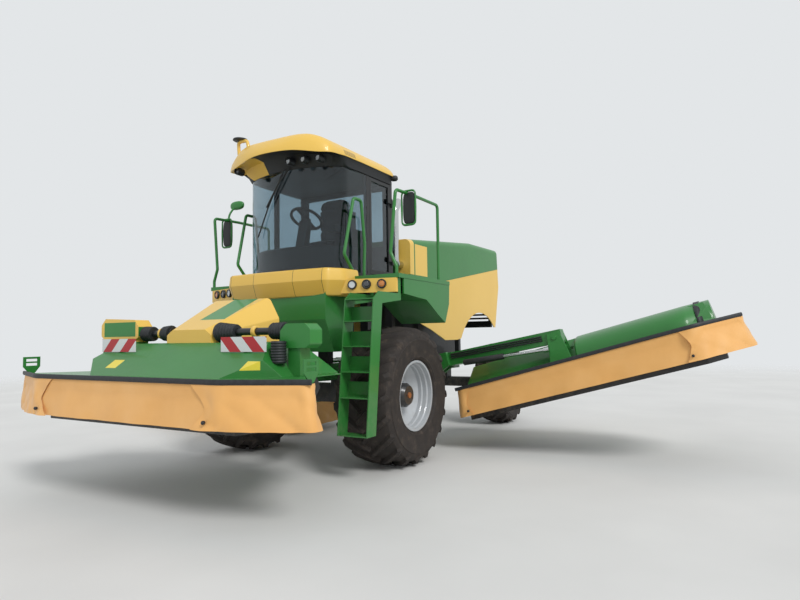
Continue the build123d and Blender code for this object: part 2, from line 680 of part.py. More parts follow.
# Panes: the wrapped windscreen, the right side and the rear
with BuildPart() as cab_glass:
    cab_layer(CAB_SILL_Z, CAB_HEAD_Z, 0, True)
    cab_layer(CAB_SILL_Z, CAB_HEAD_Z, GLASS, False, Mode.SUBTRACT)
    block((-900, 900), (CAB_PILLAR_Y, 900), (2000, 4000), Mode.SUBTRACT)
    block(
        (-CAB_HALF_WIDTH + 20, -CAB_HALF_WIDTH + 20 + GLASS),
        (DOOR_FRONT_Y, DOOR_REAR_Y),
        (CAB_SILL_Z, CAB_HEAD_Z),
    )
    block(
        (-640, 640),
        (CAB_REAR_Y - 30, CAB_REAR_Y - 30 + GLASS),
        (2700, 3460),
    )
save(cab_glass.part, "cab_glass")

# Roof: the underside widens from the cab's plan to the brow, above it side and end view cross
ROOF_LAYERS = (
    # height, half width, y of the corners, y of the front's middle
    (CAB_TOP_Z, 765, -430, -650),
    (3640, 815, -740, -985),
)
ROOF_REAR_Y = 700
ROOF_SIDE_Z = 3700
ROOF_REAR_Z = 3790
BROW_TOP_Z = 3735
BROW_CORNER = 130
BEACON_FOOT = (-620, -745)
BEACON_ARM = 120
BEACON_Z = 3985


def roof_plan(z, half_width, corner_y, front_y):
    """The roof's plan at a height: straight sides, rounded front corners and a bowed front."""
    with BuildSketch(top_plane(z)) as plan:
        with BuildLine():
            Polyline((half_width - 40, corner_y), (half_width, -100), (half_width, ROOF_REAR_Y),
                     (-half_width, ROOF_REAR_Y), (-half_width, -100), (40 - half_width, corner_y))
            ThreePointArc((40 - half_width, corner_y), (0, front_y), (half_width - 40, corner_y))
        make_face()
        fillet(plan.vertices().filter_by(lambda v: abs(v.Y - corner_y) < 1), BROW_CORNER)
    return plan.sketch


with BuildPart() as cab_roof:
    layers = [roof_plan(*layer) for layer in ROOF_LAYERS]
    loft(sections=layers)
    extrude(layers[1], amount=ROOF_TOP_Z - ROOF_LAYERS[1][0] + 1)
    roof_half, brow_y = ROOF_LAYERS[1][1] + 5, ROOF_LAYERS[1][3] - 5
    with BuildSketch(side_plane(-roof_half)) as roof_side:
        with BuildLine():
            Polyline((brow_y, BROW_TOP_Z), (brow_y, CAB_TOP_Z - 5), (ROOF_REAR_Y + 5, CAB_TOP_Z - 5),
                     (ROOF_REAR_Y + 5, ROOF_REAR_Z))
            ThreePointArc((ROOF_REAR_Y + 5, ROOF_REAR_Z), (150, ROOF_TOP_Z - 45), (-450, ROOF_TOP_Z))
            ThreePointArc((-450, ROOF_TOP_Z), (-770, ROOF_TOP_Z - 75), (brow_y, BROW_TOP_Z))
        make_face()
    extrude(roof_side.sketch, amount=2 * roof_half, mode=Mode.INTERSECT)
    with BuildSketch(rear_plane(ROOF_REAR_Y + 5)) as roof_end:
        with BuildLine():
            Polyline((-roof_half, ROOF_SIDE_Z), (-roof_half, CAB_TOP_Z - 5), (roof_half, CAB_TOP_Z - 5),
                     (roof_half, ROOF_SIDE_Z))
            ThreePointArc((roof_half, ROOF_SIDE_Z), (0, ROOF_TOP_Z), (-roof_half, ROOF_SIDE_Z))
        make_face()
    extrude(roof_end.sketch, amount=ROOF_REAR_Y + 10 - brow_y, mode=Mode.INTERSECT)
    # Looped stalk with its cap at the right front corner
    x, y = BEACON_FOOT
    bent_tube(
        [(x, y, ROOF_SIDE_Z - 20), (x - 15, y, BEACON_Z), (x + BEACON_ARM, y, BEACON_Z),
         (x + 1.6 * BEACON_ARM, y, ROOF_SIDE_Z)],
        25,
        14,
    )
    bar((x + 10, y, BEACON_Z), (x + 10, y, BEACON_Z + 32), 70)
save(cab_roof.part, "cab_roof")

# What stands in the cab: seat base, steering column and wheel, console with its screen
with BuildPart() as cab_fittings:
    block((-200, 200), (120, 480), (CAB_SILL_Z, 2640))
    block((-240, 240), (480, 560), (2600, 3200))
    block((290, 440), (0, 500), (CAB_SILL_Z, 2900))
    block((300, 430), (-160, 0), (2820, 2900))
    slab(side_plane(-70), [(-420, CAB_SILL_Z), (-300, CAB_SILL_Z), (-180, 2960), (-250, 2985)], 140)
    with BuildSketch(Plane(origin=(0, -205, 3000), z_dir=(0, 0.5, 0.87))):
        Circle(215)
        Circle(185, mode=Mode.SUBTRACT)
    extrude(amount=26)
    with BuildSketch(Plane(origin=(0, -205, 3000), z_dir=(0, 0.5, 0.87))):
        Rectangle(2 * 200, 40)
    extrude(amount=20)
    with BuildSketch(Plane(origin=(0, -212, 2955), z_dir=(0, 0.5, 0.87))):
        Circle(50)
    extrude(amount=60)
save(cab_fittings.part, "cab_fittings")

with BuildPart() as seat_cushion:
    block((-250, 250), (20, 480), (2640, 2760))
    block((-250, 250), (370, 480), (2700, 3380))
save(seat_cushion.part, "seat_cushion")


# Front body: the green shell under the cab, and the yellow band that closes the cab's foot
BAND_BOTTOM_Z = 2140
NOSE_BOTTOM_Z = 1330
NOSE_FRONT_Y = -760
NOSE_REAR_Y = -330
with BuildPart() as nose_shell:
    slab(
        side_plane(-720),
        [(NOSE_REAR_Y, NOSE_BOTTOM_Z), (NOSE_FRONT_Y + 160, NOSE_BOTTOM_Z), (NOSE_FRONT_Y, 1700), (NOSE_FRONT_Y, BAND_BOTTOM_Z),
         (NOSE_REAR_Y, BAND_BOTTOM_Z)],
        1440,
    )
    slab(
        side_plane(-700),
        [(NOSE_REAR_Y + 1, NOSE_BOTTOM_Z - 10), (NOSE_FRONT_Y + 185, NOSE_BOTTOM_Z - 10), (NOSE_FRONT_Y + 20, 1705),
         (NOSE_FRONT_Y + 20, BAND_BOTTOM_Z - 20), (NOSE_REAR_Y + 1, BAND_BOTTOM_Z - 20)],
        1400,
        Mode.SUBTRACT,
    )
save(nose_shell.part, "nose_shell")

# Subframe that carries the cab, the platforms and the nose on the rails
with BuildPart() as cab_subframe:
    for span in both_sides(RAIL_INNER_X, RAIL_OUTER_X):
        for y in (-320, 560):
            block(span, (y, y + 100), (RAIL_TOP_Z, 2080))
    for y in (-320, 560):
        block((-1400, 1400), (y, y + 100), (2080, PLATFORM_TOP_Z - PLATFORM_THICKNESS))
    block((-500, 500), (-220, 560), (2100, CAB_FLOOR_Z))
    block((-700, 700), (-420, -320), (1600, 1680))
save(cab_subframe.part, "cab_subframe")

with BuildPart() as nose_band:
    slab(
        top_plane(BAND_BOTTOM_Z),
        [(-780, -560), (-600, -740), (-250, -800), (250, -800), (600, -740), (780, -560), (780, -440), (-780, -440)],
        CAB_FLOOR_Z - BAND_BOTTOM_Z,
    )
    for side in (1, -1):
        slab(
            top_plane(1990),
            [(side * 800, -590), (side * 1450, -394), (side * 1450, -424), (side * 800, -620)],
            160,
        )
save(nose_band.part, "nose_band")

# Platforms beside the cab, each with a mudguard and its outer side plate
MUDGUARD = 14
with BuildPart() as platforms:
    for side in (1, -1):
        block(
            sorted((side * (CAB_HALF_WIDTH + 5), side * PLATFORM_OUTER_X)),
            (PLATFORM_FRONT_Y, PLATFORM_REAR_Y),
            (PLATFORM_TOP_Z - PLATFORM_THICKNESS, PLATFORM_TOP_Z),
        )
        guard = [(-300, 2150), (900, 2150), (880, 1900), (760, 1660), (560, 1760), (250, 1930), (-300, 1975)]
        slab(side_plane(1455 if side > 0 else -1475), guard, 20)
        sheet = [(-200, 1968), (250, 1930), (560, 1760), (760, 1660), (760, 1676), (564, 1775), (254, 1945), (-200, 1983)]
        slab(side_plane(830 if side > 0 else -1455), sheet, 625)
save(platforms.part, "platforms")

# Handrails: hoops at the front of each platform and a railing at its outer edge
RAIL_TUBE = 19
with BuildPart() as handrails:
    for side in (1, -1):
        bent_tube(
            [(side * 840, -400, PLATFORM_TOP_Z), (side * 840, -400, 2280), (side * 840, -560, 2450),
             (side * 860, -390, 3130), (side * 860, -230, 3130), (side * 860, -160, 2600),
             (side * 860, -180, 2300), (side * 860, -180, PLATFORM_TOP_Z)],
            50,
            RAIL_TUBE,
        )
        bent_tube(
            [(side * 1440, -400, PLATFORM_TOP_Z), (side * 1440, -400, 2280), (side * 1370, -410, 2440),
             (side * 1440, -400, 3150), (side * 1440, 60, 3165), (side * 1440, 660, 3165),
             (side * 1440, 660, PLATFORM_TOP_Z)],
            50,
            RAIL_TUBE,
        )
save(handrails.part, "handrails")

with BuildPart() as mirrors:
    for side in (1, -1):
        block(sorted((side * 1459, side * 1500)), (-200, -60), (2800, 3165))
save(mirrors.part, "mirrors")

# Access ladder on the left, hung from the platform ahead of the wheel; it leans back as it rises
LADDER_X = (1080, 1450)
LADDER_PLATE = 12
LADDER_TOP = (-900, 1900)
LADDER_LEAN = 0.11
LADDER_DEPTH = 170
LADDER_STEPS = (480, 860, 1125, 1390, 1655, 1888)
LADDER_RISER = 165


def ladder_front(z):
    """The y of the ladder's front edge at a height."""
    return LADDER_TOP[0] - (LADDER_TOP[1] - z) * LADDER_LEAN


with BuildPart() as ladder:
    bottom, top = LADDER_STEPS[0], LADDER_TOP[1]
    for x in (LADDER_X[0], LADDER_X[1] - LADDER_PLATE):
        slab(
            side_plane(x),
            [(ladder_front(bottom), bottom), (ladder_front(top), top), (-800, 1975), (-390, 1975),
             (-390, PLATFORM_TOP_Z - PLATFORM_THICKNESS), (-330, PLATFORM_TOP_Z - PLATFORM_THICKNESS), (-330, 1900),
             (ladder_front(top) + LADDER_DEPTH, 1850), (ladder_front(bottom) + LADDER_DEPTH, bottom)],
            LADDER_PLATE,
        )
    for z in LADDER_STEPS:
        front = ladder_front(z)
        block(LADDER_X, (front, front + LADDER_DEPTH), (z, z + LADDER_PLATE))
    for z in LADDER_STEPS[1:-1]:
        back = ladder_front(z) + LADDER_DEPTH
        block(LADDER_X, (back - LADDER_PLATE, back), (z, z + LADDER_RISER))
save(ladder.part, "ladder")

# Lamps on the slanted front panels
LAMP_RADIUS = 42
LAMP_DEPTH = 22
BROW_LAMPS = ((200, -775), (400, -750), (580, -700))
BROW_LAMP_Z = 3580
BROW_LAMP_RADIUS = 36
with BuildPart() as lamps:
    for side in (1, -1):
        slope = Vector(side * 650, 196, 0).normalized()
        outward = Vector(slope.Y * side, -abs(slope.X), 0)
        for x in (960, 1120, 1290):
            foot = Vector(side * x, -620 + (x - 800) * 196 / 650, 2085)
            bar(foot, foot + outward * LAMP_DEPTH, LAMP_RADIUS)
    for x, y in BROW_LAMPS:
        bar((x, y, BROW_LAMP_Z), (x, y + 90, BROW_LAMP_Z), BROW_LAMP_RADIUS)
    add(cab_roof.part, mode=Mode.SUBTRACT)
save(lamps.part, "lamps")


# Mowers. One cross section serves all three, by distances behind the front edge and heights.
def outline_at(edge_y, table):
    """Points of a plan given as x and the distance behind a mower's front edge."""
    return [(x, edge_y + back) for x, back in table]


def mower_frame(edge_y, lift, bar_x, plate_x, discs):
    """Cutter bar with its discs, end plates with the rotor's bearings, and the beam that joins them."""
    bottom, top = CUTTER_Z[0] + lift, CUTTER_Z[1] + lift
    front, back = edge_y + CUTTER_BACK[0], edge_y + CUTTER_BACK[1]
    low, high = plate_x
    heel = back + 180
    slab(
        top_plane(bottom),
        [(bar_x[0], front), (bar_x[1], front), (high, back), (high, heel), (high - 90, heel), (high - 90, back),
         (low + 90, back), (low + 90, heel), (low, heel), (low, back)],
        top - bottom,
    )
    pitch = (bar_x[1] - bar_x[0] - 2 * DISC_RADIUS) / (discs - 1)
    for count in range(discs):
        x = bar_x[0] + DISC_RADIUS + count * pitch
        bar((x, edge_y + DISC_BACK, top), (x, edge_y + DISC_BACK, top + 20), 60)
        bar((x, edge_y + DISC_BACK, top + 20), (x, edge_y + DISC_BACK, top + 32), DISC_RADIUS)
    plate = [
        (edge_y + PLATE_BACK[0], bottom),
        (edge_y + PLATE_BACK[0], BEAM_Z[1] + lift),
        (edge_y + PLATE_BACK[1] - 60, BEAM_Z[1] + lift),
        (edge_y + PLATE_BACK[1], 330 + lift),
        (edge_y + 950, 110 + lift),
        (edge_y + 700, bottom),
    ]
    for x in (low, high - END_PLATE):
        slab(side_plane(x), plate, END_PLATE)
    block(plate_x, (edge_y + BEAM_BACK[0], edge_y + BEAM_BACK[1]), (BEAM_Z[0] + lift, BEAM_Z[1] + lift))
    bar(
        (low - 1, edge_y + ROTOR_BACK, ROTOR_Z + lift),
        (high + 1, edge_y + ROTOR_BACK, ROTOR_Z + lift),
        ROTOR_SHAFT_RADIUS + RUNNING_FIT,
        Mode.SUBTRACT,
    )


def mower_rotor(edge_y, lift, plate_x, drum_x):
    """The conditioning rotor: a tube on its shaft, with rows of tines that are staggered from row to row."""
    centre = (edge_y + ROTOR_BACK, ROTOR_Z + lift)
    bar((plate_x[0] - 10, *centre), (plate_x[1] + 10, *centre), ROTOR_SHAFT_RADIUS)
    bar((drum_x[0], *centre), (drum_x[1], *centre), ROTOR_TUBE_RADIUS)
    pitch = (drum_x[1] - drum_x[0]) / TINES_PER_ROW
    for row in range(TINE_ROWS):
        angle = 2 * math.pi * row / TINE_ROWS
        turned_plane = Plane(origin=(drum_x[0], *centre), x_dir=(1, 0, 0),
                             z_dir=(0, -math.sin(angle), math.cos(angle)))
        stagger = 0.25 if row % 2 == 0 else 0.75
        middles = [((k + stagger) * pitch, (TINE_FOOT + ROTOR_RADIUS) / 2) for k in range(TINES_PER_ROW)]
        with BuildSketch(turned_plane) as comb:
            with Locations(*middles):
                Trapezoid(TINE_WIDTH, ROTOR_RADIUS - TINE_FOOT, TINE_ANGLE)
        extrude(comb.sketch, amount=TINE_THICKNESS / 2, both=True)


def raised_hood(edge_y, lift, rise, backs, foot_x, top_x, plan, shrink):
    """The raised hood as a solid: its side view, end view and plan crossed, smaller by shrink."""
    foot = COVER_Z + lift - shrink
    top = COVER_Z + lift + rise - shrink
    bottom = COVER_Z - COVER_THICKNESS + lift - shrink
    front, front_top, rear_top, rear = (edge_y + back for back in backs)
    with BuildPart() as raised:
        slab(
            side_plane(foot_x[0]),
            [(front + shrink, bottom), (front + shrink, foot), (front_top + shrink / 2, top),
             (rear_top - shrink / 2, top), (rear - shrink, bottom)],
            foot_x[1] - foot_x[0],
        )
        slab(
            rear_plane(rear + 1),
            [(foot_x[0] + shrink, bottom), (foot_x[0] + shrink, foot), (top_x[0] + shrink, top),
             (top_x[1] - shrink, top), (foot_x[1] - shrink, foot), (foot_x[1] - shrink, bottom)],
            rear - front + 2,
            Mode.INTERSECT,
        )
        with BuildSketch(top_plane(bottom - 1)) as footprint:
            with BuildLine():
                Polyline(*outline_at(edge_y, plan), close=True)
            make_face()
            if shrink:
                offset(amount=-shrink, kind=Kind.INTERSECTION)
        extrude(footprint.sketch, amount=top - bottom + 2, mode=Mode.INTERSECT)
    return raised.part


def mower_skirt(outline, rear_y, lift):
    """The cloth skirt: a flared strip that hangs from the edge of the cover, open at the rear."""
    top_z = COVER_Z - COVER_THICKNESS + lift
    for shrink, mode in ((0, Mode.ADD), (SKIRT_THICKNESS, Mode.SUBTRACT)):
        sections = []
        for z, flare in ((top_z, 0), (top_z - SKIRT_HEIGHT, SKIRT_FLARE)):
            with BuildSketch(top_plane(z)) as level:
                with BuildLine():
                    Polyline(*outline, close=True)
                make_face()
                if flare - shrink:
                    offset(amount=flare - shrink, kind=Kind.INTERSECTION)
            sections.append(level.sketch)
        loft(sections, mode=mode)
    block((-6000, 6000), (rear_y, rear_y + 2000), (top_z - 1000, top_z + 100), Mode.SUBTRACT)


# Side mowers with their booms and lift cylinders
SIDE_PLAN = (
    # x, distance behind the front edge
    (1400, 0), (4300, 0), (4760, 460), (4760, 1250), (1300, 1250), (1300, 400),
)
SIDE_HOOD_PLAN = ((1395, 330), (4200, 330), (4490, 560), (4490, 1440), (1395, 1440))
SIDE_HOOD_BACK = (330, 620, 1180, 1440)
SIDE_RISE = 255
SIDE_BAR_X = (1420, 4310)
SIDE_PLATE_X = (1385, 4500)
SIDE_DRUM_X = (1440, 4440)
SIDE_FOOT_X = (1395, 4490)
SIDE_TOP_X = (1450, 4440)
SIDE_DISCS = 8
BOOM_ROOT_X = 1150
BOOM_ROOT_Z = (965, 1143)
BOOM_HEAD_Z = (852, 1018)
EAR_FOOT_X = (2600, 2880)
EAR_TOP_X = (2660, 2820)
EAR_TOP_Z = 1000
HEAD_EAR = 20
HEAD_EARS = (BOOM_Y - BOOM_HALF_WIDTH - MOVING_GAP - HEAD_EAR, BOOM_Y + BOOM_HALF_WIDTH + MOVING_GAP)
HEAD_WEB_Z = (790, 815)
ROD_EYE = (850, 880)
ROD_EYE_RADIUS = 38
BARREL_RADIUS = 42
BARREL_EYE_RADIUS = 50
BARREL_LENGTH = 440
BARREL_BOTTOM = 66
ROD_RADIUS = 22
ROD_LENGTH = 430
side_plan = outline_at(SIDE_EDGE_Y, SIDE_PLAN)
side_cover_z = COVER_Z + SIDE_LIFT
side_hoods = [
    raised_hood(SIDE_EDGE_Y, SIDE_LIFT, SIDE_RISE, SIDE_HOOD_BACK, SIDE_FOOT_X, SIDE_TOP_X, SIDE_HOOD_PLAN, shrink)
    for shrink in (0, COVER_THICKNESS)
]
with BuildPart() as side_rotor:
    mower_rotor(SIDE_EDGE_Y, SIDE_LIFT, SIDE_PLATE_X, SIDE_DRUM_X)
for side in ("left", "right"):
    with BuildPart() as side_boom:
        for low, high in both_sides(BOOM_ARM_INNER, BOOM_ARM_OUTER):
            bar((PIVOT_X, BOOM_Y + low, PIVOT_Z), (PIVOT_X, BOOM_Y + high, PIVOT_Z), 70)
            slab(
                rear_plane(BOOM_Y + high),
                [(PIVOT_X - 20, PIVOT_Z + 67), (BOOM_ROOT_X + 100, BOOM_ROOT_Z[1] + 7),
                 (BOOM_ROOT_X + 100, BOOM_ROOT_Z[0] + 5), (ROD_EYE[0] + 60, ROD_EYE[1] - 50),
                 (ROD_EYE[0] - 50, ROD_EYE[1] - 50), (PIVOT_X - 60, PIVOT_Z - 35)],
                high - low,
            )
        for low, high in ((-BOOM_ARM_OUTER - EAR_THICKNESS - 18, -BOOM_ARM_INNER),
                          (BOOM_ARM_INNER, BOOM_ARM_OUTER + EAR_THICKNESS + 18)):
            bar((PIVOT_X, BOOM_Y + low, PIVOT_Z), (PIVOT_X, BOOM_Y + high, PIVOT_Z), PIVOT_PIN_RADIUS)
        slab(
            rear_plane(BOOM_Y + BOOM_HALF_WIDTH),
            [(BOOM_ROOT_X, BOOM_ROOT_Z[0]), (BOOM_ROOT_X, BOOM_ROOT_Z[1]), (BOOM_END_X, BOOM_HEAD_Z[1]),
             (BOOM_END_X, BOOM_HEAD_Z[0])],
            2 * BOOM_HALF_WIDTH,
        )
        bar(
            (HEAD_PIN[0], BOOM_Y - BOOM_HALF_WIDTH - 1, HEAD_PIN[1]),
            (HEAD_PIN[0], BOOM_Y + BOOM_HALF_WIDTH + 1, HEAD_PIN[1]),
            HEAD_PIN_RADIUS + RUNNING_FIT,
            Mode.SUBTRACT,
        )
    save_side(side_boom.part, "side_boom", side, on_head=False)

    with BuildPart() as side_mower_frame:
        mower_frame(SIDE_EDGE_Y, SIDE_LIFT, SIDE_BAR_X, SIDE_PLATE_X, SIDE_DISCS)
        # Ears that hold the boom's head: the front one stands on the cover, the rear one on the beam
        for y, foot in zip(HEAD_EARS, (side_cover_z, BEAM_Z[1] + SIDE_LIFT)):
            slab(
                rear_plane(y + HEAD_EAR),
                [(EAR_FOOT_X[0], foot), (EAR_FOOT_X[1], foot), (EAR_TOP_X[1], EAR_TOP_Z), (EAR_TOP_X[0], EAR_TOP_Z)],
                HEAD_EAR,
            )
        block(EAR_TOP_X, (HEAD_EARS[0], HEAD_EARS[1] + HEAD_EAR), HEAD_WEB_Z)
        bar(
            (HEAD_PIN[0], HEAD_EARS[0] - 15, HEAD_PIN[1]),
            (HEAD_PIN[0], HEAD_EARS[1] + HEAD_EAR + 15, HEAD_PIN[1]),
            HEAD_PIN_RADIUS,
        )
    save_side(side_mower_frame.part, "side_mower_frame", side)

    with BuildPart() as side_mower_hood:
        slab(top_plane(side_cover_z - COVER_THICKNESS), side_plan, COVER_THICKNESS)
        add(side_hoods[0])
        add(side_hoods[1], mode=Mode.SUBTRACT)
        block(
            (EAR_FOOT_X[0] - 10, EAR_FOOT_X[1] + 10),
            (HEAD_EARS[1] - 10, HEAD_EARS[1] + HEAD_EAR + 10),
            (side_cover_z + 1, EAR_TOP_Z),
            Mode.SUBTRACT,
        )
    save_side(side_mower_hood.part, "side_mower_hood", side)

    with BuildPart() as side_mower_skirt:
        mower_skirt(side_plan, SIDE_EDGE_Y + SIDE_PLAN[3][1] - 20, SIDE_LIFT)
    save_side(side_mower_skirt.part, "side_mower_skirt", side)
    save_side(side_rotor.part, "side_rotor", side)

    # The cylinder lies between its base pin on the frame and the eye as it stands at rest.
    tilt = math.radians(SIDE_RESTS[side][0])
    reach_x, reach_z = ROD_EYE[0] - PIVOT_X, ROD_EYE[1] - PIVOT_Z
    tip = Vector(
        PIVOT_X + reach_x * math.cos(tilt) - reach_z * math.sin(tilt),
        BOOM_Y,
        PIVOT_Z + reach_x * math.sin(tilt) + reach_z * math.cos(tilt),
    )
    base = Vector(CYLINDER_BASE_X, BOOM_Y, CYLINDER_BASE_Z)
    along = (tip - base).normalized()
    half_eye = Vector(0, CYLINDER_EYE_WIDTH / 2, 0)
    with BuildPart() as lift_barrel:
        bar(base - half_eye, base + half_eye, BARREL_EYE_RADIUS)
        bar(base, base + along * BARREL_LENGTH, BARREL_RADIUS)
        bar(base - half_eye * 2, base + half_eye * 2, CYLINDER_PIN_RADIUS + RUNNING_FIT, Mode.SUBTRACT)
        bar(base + along * BARREL_BOTTOM, base + along * (BARREL_LENGTH + 1), ROD_RADIUS + RUNNING_FIT, Mode.SUBTRACT)
    with BuildPart() as lift_rod:
        bar(tip - half_eye, tip + half_eye, ROD_EYE_RADIUS)
        bar(tip, tip - along * ROD_LENGTH, ROD_RADIUS)
        bar(tip - half_eye * 2, tip + half_eye * 2, CYLINDER_PIN_RADIUS - 5, Mode.SUBTRACT)
    for piece, name in ((lift_barrel.part, "lift_barrel"), (lift_rod.part, "lift_rod")):
        save(piece if side == "left" else piece.mirror(Plane.YZ), f"{name}_{side}")


# Front mower on its parallel linkage
FRONT_PLAN = (
    # x, distance behind the front edge; the wings stand out at both sides
    (-1250, 0), (1250, 0), (1950, 260), (1900, 350), (1500, 850), (1500, 1250),
    (-1500, 1250), (-1500, 850), (-1900, 350), (-1950, 260),
)
FRONT_HOOD_PLAN = (
    (-900, 330), (900, 330), (1330, 640), (1330, 1440), (-1330, 1440), (-1330, 640),
)
FRONT_HOOD_BACK = (330, 760, 1180, 1440)
FRONT_RISE = 300
FRONT_BAR_X = (-1270, 1270)
FRONT_PLATE_X = (-1340, 1340)
FRONT_DRUM_X = (-1105, 1105)
FRONT_FOOT_X = (-1330, 1330)
FRONT_TOP_X = (-1060, 1060)
FRONT_DISCS = 7
FRONT_HOOD_TOP = COVER_Z + FRONT_LIFT + FRONT_RISE
LINK_END_Y = LINK_CHASSIS_Y - LINK_LENGTH * math.cos(math.radians(LINK_ANGLE))
LINK_RISE = LINK_LENGTH * math.sin(math.radians(LINK_ANGLE))
LOWER_END_Z = LOWER_LINK_Z + LINK_RISE
UPPER_END_Z = UPPER_LINK_Z + LINK_RISE
YOKE_Z = (1378, 1425)
YOKE_FRONT = (
    # distance behind the front edge and height: up from the beam, then between rotor and hood
    (BEAM_BACK[0] + 15, BEAM_Z[0] + FRONT_LIFT),
    (BEAM_BACK[1], BEAM_Z[0] + FRONT_LIFT),
    (BEAM_BACK[1], 1236),
    (760, YOKE_Z[0]),
)
front_plan = outline_at(FRONT_EDGE_Y, FRONT_PLAN)
front_hoods = [
    raised_hood(FRONT_EDGE_Y, FRONT_LIFT, FRONT_RISE, FRONT_HOOD_BACK, FRONT_FOOT_X, FRONT_TOP_X, FRONT_HOOD_PLAN,
                shrink)
    for shrink in (0, COVER_THICKNESS)
]
with BuildPart() as front_mower_frame:
    mower_frame(FRONT_EDGE_Y, FRONT_LIFT, FRONT_BAR_X, FRONT_PLATE_X, FRONT_DISCS)
    for side in (1, -1):
        low, high = sorted((side * 310, side * (LOWER_LINK_X[0] - MOVING_GAP)))
        slab(
            side_plane(low),
            [(FRONT_EDGE_Y + back, z) for back, z in YOKE_FRONT]
            + [(LINK_END_Y - 45, YOKE_Z[0]), (LINK_END_Y - 45, LOWER_END_Z - 40), (LINK_END_Y + 40, LOWER_END_Z - 40),
               (LINK_END_Y + 40, YOKE_Z[1]), (FRONT_EDGE_Y + 752, YOKE_Z[1]), (FRONT_EDGE_Y + BEAM_BACK[0] + 15, 1249)],
            high - low,
        )
        bar(
            (side * 330, LINK_END_Y, LOWER_END_Z),
            (side * (LOWER_LINK_X[1] + 6), LINK_END_Y, LOWER_END_Z),
            LINK_PIN_RADIUS,
        )
        inner = TOP_LINK_HALF_WIDTH + MOVING_GAP
        block(
            sorted((side * inner, side * (inner + 24))),
            (LINK_END_Y - 130, LINK_END_Y + 40),
            (UPPER_END_Z - 40, YOKE_Z[1]),
        )
    block((-330, 330), (LINK_END_Y - 130, LINK_END_Y - 60), YOKE_Z)
    bar(
        (-100, LINK_END_Y, UPPER_END_Z),
        (100, LINK_END_Y, UPPER_END_Z),
        TOP_LINK_PIN_RADIUS + RUNNING_FIT,
        Mode.SUBTRACT,
    )
save(front_mower_frame.part, "front_mower_frame")

HAZARD_Z = (1378, 1512)
HAZARD_Y = -2180
HAZARD_X = ((610, 1160), (-1160, -610))
HAZARD_ARM_X = 900
WING_PLATE_X = 1905
WING_PLATE = (
    (FRONT_EDGE_Y + 275, COVER_Z + FRONT_LIFT), (FRONT_EDGE_Y + 335, COVER_Z + FRONT_LIFT),
    (FRONT_EDGE_Y + 390, 1230), (FRONT_EDGE_Y + 390, 1335), (FRONT_EDGE_Y + 215, 1335),
    (FRONT_EDGE_Y + 215, 1230),
)
WING_SLOT_Y = (FRONT_EDGE_Y + 245, FRONT_EDGE_Y + 360)
WING_SLOT_ROWS = (1240, 1285)
with BuildPart() as front_mower_hood:
    slab(top_plane(COVER_Z - COVER_THICKNESS + FRONT_LIFT), front_plan, COVER_THICKNESS)
    add(front_hoods[0])
    for x in (-HAZARD_ARM_X, HAZARD_ARM_X):
        block((x - 30, x + 30), (HAZARD_Y, HAZARD_Y + 80), (1390, 1420))
    add(front_hoods[1], mode=Mode.SUBTRACT)
    # A slotted plate stands at the end of each wing
    for x in (WING_PLATE_X, -WING_PLATE_X - COVER_THICKNESS):
        slab(side_plane(x), WING_PLATE, COVER_THICKNESS)
        for z in WING_SLOT_ROWS:
            block((x - 1, x + COVER_THICKNESS + 1), WING_SLOT_Y, (z, z + 28), Mode.SUBTRACT)
    block((-460, 460), (FRONT_EDGE_Y + 1190, FRONT_EDGE_Y + 1500), (1000, FRONT_HOOD_TOP + 1), Mode.SUBTRACT)
save(front_mower_hood.part, "front_mower_hood")

with BuildPart() as front_mower_skirt:
    mower_skirt(front_plan, FRONT_EDGE_Y + FRONT_PLAN[5][1] - 20, FRONT_LIFT)
save(front_mower_skirt.part, "front_mower_skirt")

with BuildPart() as front_rotor:
    mower_rotor(FRONT_EDGE_Y, FRONT_LIFT, FRONT_PLATE_X, FRONT_DRUM_X)
save(front_rotor.part, "front_rotor")

with BuildPart() as hazard_boards:
    for span in HAZARD_X:
        block(span, (HAZARD_Y - 6, HAZARD_Y), HAZARD_Z)
save(hazard_boards.part, "hazard_boards")

BONNET_ROUND = 30
BONNET = (
    # y, half width at the foot, shoulder height, crown height, crown half width
    (-2040, 315, 1540, 1590, 235),
    (-1310, 530, 1705, 1940, 390),
)
with BuildPart() as front_bonnet:
    for y, half, shoulder, crown, crown_half in BONNET:
        with BuildSketch(rear_plane(y)):
            with BuildLine():
                Polyline((-half, FRONT_HOOD_TOP), (-half, shoulder), (-crown_half, crown), (crown_half, crown),
                         (half, shoulder), (half, FRONT_HOOD_TOP), close=True)
            make_face()
    loft()
    fillet(front_bonnet.edges().filter_by(lambda e: e.length > 600 and e.center().Z > 1600), BONNET_ROUND)
    # Room for the top link when the mower is down
    block((-50, 50), (BONNET[1][0] - 95, BONNET[1][0] + 1), (FRONT_HOOD_TOP - 1, FRONT_HOOD_TOP + 75), Mode.SUBTRACT)
save(front_bonnet.part, "front_bonnet")

# Drive line of the front mower: cross shafts in their guards, a gear guard on a post at the left end
# and a belt guard at the right end
SHAFT_Y = -1950
SHAFT_Z = 1560
SHAFT_RADIUS = 34
SHAFT_BELL_RADIUS = 62
SHAFT_BELL = 130
POST_X = (1265, 1400)
POST_HALF = 70
GEAR_GUARD = ((1185, 1440), (1185, 1560), (1250, 1622), (1465, 1622), (1522, 1570), (1522, 1440), (1470, 1405),
              (1240, 1405))
BELT_GUARD = ((775, 1530), (775, 1640), (840, 1712), (1340, 1735), (1412, 1665), (1412, 1545), (1340, 1490),
              (835, 1490))
BELT_FOOT_X = (820, 1000)
GUARD_HALF = 85
GUARD_ROUND = 25
DAMPER = ((1225, -2100, 1275), (1225, -2100, 1470))


